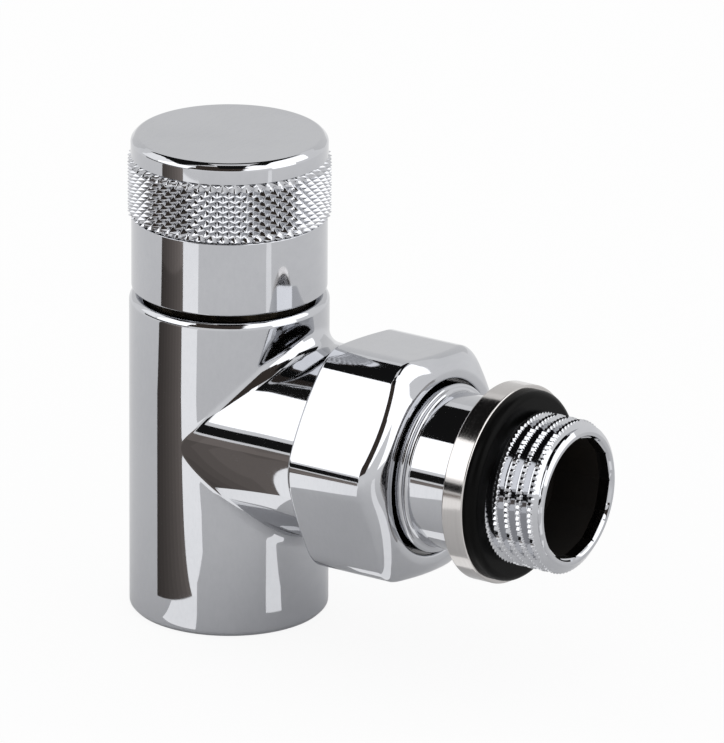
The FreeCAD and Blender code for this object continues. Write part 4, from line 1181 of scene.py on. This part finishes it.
@dataclass
class Studio:
    """Camera, floor, surroundings and the cards that the chrome mirrors."""

    target: Triple = (0.020, 0.0, 0.033)
    azimuth: float = 33.3
    elevation: float = 20.0
    roll: float = 0.33
    distance: float = 1.5
    focal: float = 538.8
    sensor: float = 36.0
    shift: Pair = (0.0132, 0.0432)
    card_height: float = 0.0005
    strip_height: float = 0.0006
    canopy_rise: float = 0.47

    def toward(self, side: float, rise: float, reach: float) -> Vector:
        """Point seen from the target.

        Args:
            side: Degrees to the right of the camera, as the target sees it.
            rise: Degrees above the horizon.
            reach: Distance in metres.

        Returns:
            The point.
        """
        turn = radians(self.azimuth - 90.0 + side)
        lift = radians(rise)
        offset = Vector((cos(turn) * cos(lift), sin(turn) * cos(lift), sin(lift)))
        return Vector(self.target) + offset * reach

    def camera(self) -> None:
        """Set the camera to the photograph's view."""
        data = bpy.data.cameras.new("camera")
        data.sensor_width = self.sensor
        data.lens = self.focal
        data.shift_x, data.shift_y = self.shift
        data.clip_end = 20.0
        camera = bpy.data.objects.new("camera", data)
        bpy.context.scene.collection.objects.link(camera)
        back = self.toward(0.0, self.elevation, 1.0) - Vector(self.target)
        turn = back.to_track_quat("Z", "Y") @ Matrix.Rotation(
            radians(self.roll), 4, "Z").to_quaternion()
        camera.matrix_world = Matrix.Translation(
            Vector(self.target) + back * self.distance) @ turn.to_matrix().to_4x4()
        bpy.context.scene.camera = camera

    def sheet(self, name: str, corners: Sequence[Vector], shade: float,
              tint: Triple = WHITE) -> None:
        """Flat card that only reflections see.

        Args:
            name: Name of the card.
            corners: Its corners in order.
            shade: Brightness of the card.
            tint: Colour of the card.
        """
        mesh = bmesh.new()
        mesh.faces.new([mesh.verts.new(corner) for corner in corners])
        graph = Graph(bpy.data.materials.new(name))
        card = new_object(name, mesh, [graph.finish(graph.glow(tint, shade))])
        card.visible_camera = False
        card.visible_shadow = False
        card.visible_diffuse = False

    def panels(self) -> None:
        """Softboxes and dark cards that face the target.

        A row gives degrees to the right of the camera and above the horizon, the distance, the
        width and the height in metres, the brightness and the colour.
        """
        for name, side, rise, reach, width, height, shade, tint in (
                ("softbox_left", -70.0, 31.0, 0.60, 0.45, 0.43, 2.1, WHITE),
                ("softbox_left_edge", -107.0, 31.0, 0.61, 0.28, 0.40, 1.4, WHITE),
                ("softbox_right", 62.0, 46.0, 0.62, 1.12, 0.55, 2.1, WHITE),
                ("softbox_low", 66.0, 11.0, 0.62, 0.36, 0.30, 2.1, WHITE),
                ("wall_behind", 180.0, 22.0, 0.80, 1.40, 0.50, 0.84, WHITE),
                ("gap_left", -78.0, 3.2, 0.50, 0.60, 0.080, 0.012, WHITE),
                ("dark_above_camera", -15.0, 46.0, 0.55, 0.46, 0.50, 0.045, WARM_CLOTH),
                ("dark_beside_softbox", -19.0, 30.0, 0.56, 0.66, 0.30, 0.045, WARM_CLOTH)):
            middle = self.toward(side, rise, reach)
            back = (middle - Vector(self.target)).normalized()
            across = UP.cross(back).normalized() * width / 2
            upward = back.cross(across.normalized()) * height / 2
            self.sheet(name, [middle - across - upward, middle + across - upward,
                              middle + across + upward, middle - across + upward], shade, tint)

    def lying(self, name: str, points: Sequence[Pair], height: float, shade: float,
              tint: Triple = WHITE) -> None:
        """Level card at a height in metres with its corners in millimetres."""
        self.sheet(name, [Vector((x * MM, y * MM, height)) for x, y in points], shade, tint)

    def runway(self) -> None:
        """Dark strip on the floor, lighter towards its right edge and its far end."""
        left = ((-11.6, -18.9), (-80.0, -62.0), (-122.0, -104.0), (-420.0, -400.0))
        right = ((0.8, -26.6), (-35.6, -99.0), (-55.0, -152.0), (-180.0, -480.0))
        shades = (0.060, 0.068, 0.078, 0.090, 0.104, 0.120, 0.140, 0.165)
        far_gain = (1.0, 1.0, 1.5)
        for lane, shade in enumerate(shades):
            low, high = lane / len(shades), (lane + 1) / len(shades)
            for part, gain in enumerate(far_gain):
                corners = []
                for row, share in ((part, low), (part, high), (part + 1, high), (part + 1, low)):
                    (x0, y0), (x1, y1) = left[row], right[row]
                    corners.append((x0 + (x1 - x0) * share, y0 + (y1 - y0) * share))
                self.lying(f"dark_strip_{lane}_{part}", corners, self.strip_height,
                           shade * gain, WARM_STRIP)

    def light_cards(self) -> None:
        """Bright patches on the floor beside the dark strip."""
        for name, shade, points in (
                ("light_strip", 1.35, (
                    (0.8, -26.6), (2.8, -27), (2.6, -32), (6.3, -44), (6, -59), (-3.9, -106),
                    (-3, -200), (-72, -198), (-55, -152), (-35.6, -99))),
                ("light_near", 1.3, (
                    (-4.2, -15.5), (3.3, -14), (3.2, -20), (2.8, -27), (0.8, -26.6),
                    (-6.5, -22))),
                ("light_ribbon", 1.2, (
                    (18.3, -9.2), (26, -11), (160, -40), (213, -44), (215, -28), (160, -22),
                    (28.5, -4), (19.5, -4.6)))):
            self.lying(name, points, self.card_height, shade)

    def canopy(self) -> None:
        """Black cloth overhead with a window at the zenith, open where top views look."""
        back = self.toward(0.0, 0.0, 1.0) - Vector(self.target)
        across = UP.cross(back)
        middle = Vector(self.target) + UP * self.canopy_rise
        fields = ((-0.09, 0.09, 0.10, 0.30), (-0.42, 0.22, -0.42, -0.10),
                  (-0.40, -0.10, -0.10, 0.10), (0.10, 0.22, -0.10, 0.10))
        for number, (left, right, far, near) in enumerate(fields):
            places = ((left, far), (right, far), (right, near), (left, near))
            self.sheet(f"canopy_{number}", [
                middle + across * side + back * depth for side, depth in places], 0.010)

    def floor(self) -> None:
        """Pale floor that is white to the camera and keeps the object's shadow; to reflections it
        darkens towards the object as painted shade.
        """
        mesh = bmesh.new()
        bmesh.ops.create_grid(mesh, x_segments=1, y_segments=1, size=3.0)
        graph = Graph(bpy.data.materials.new("floor"))
        matte = graph.value("ShaderNodeBsdfDiffuse", {}, {"Color": (0.86, 0.86, 0.865, 1.0)})
        spot = graph.value("ShaderNodeTexCoord", {}, {}, "Object")
        away = graph.value("ShaderNodeVectorMath", {"operation": "LENGTH"}, {0: spot}, "Value")
        # Reflections see the duller matte floor near the object and the white glow farther out:
        # painted shade round the object, on top of its real shadow.
        clear = graph.ramp(away * 2.0, (
            (0.04, 0.0), (0.17, 0.12), (0.31, 0.42), (0.50, 0.72), (1.0, 0.90)))
        mix = graph.value("ShaderNodeMixShader", {}, {
            0: graph.rays("Camera") * 0.88 + graph.rays("Glossy", "Transmission") * clear,
            1: matte, 2: graph.glow(WHITE, 1.02)})
        floor = new_object("floor", mesh, [graph.finish(mix)])

    def world(self) -> None:
        """White surroundings with plain soft light."""
        world = bpy.data.worlds.new("surroundings")
        bpy.context.scene.world = world
        graph = Graph(world)
        seen = graph.rays("Camera", "Glossy", "Transmission").least(1.0)
        glow = graph.value("ShaderNodeBackground", {}, {
            "Color": (*WHITE, 1.0), "Strength": 0.88 + 0.12 * seen})
        graph.node("ShaderNodeOutputWorld", {}, {"Surface": glow})

    def build(self) -> None:
        """Set up everything that isn't the object."""
        self.camera()
        self.world()
        self.floor()
        self.panels()
        self.canopy()
        self.runway()
        self.light_cards()
        log.info("studio ready")


def main() -> None:
    """Build and dress the valve, then set up the studio."""
    logging.basicConfig(level=logging.INFO)
    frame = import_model()
    scene = bpy.context.scene
    scene.view_settings.view_transform = "Standard"
    kit = Kit(frame["nodes"], {finish.name: finish.material() for finish in (
        Chrome(), BorePaintedShade(), SatinNickel(), Rubber(), BareBrass(), BonnetPaintedShade(),
        SpringSteel(), InsertPlastic())})
    for part in (ValveBody, Knob, UnionNut, Tailpiece, OutletSeal, InnerParts):
        part(kit).build()
    Studio().build()


if __name__ == "__main__":
    main()
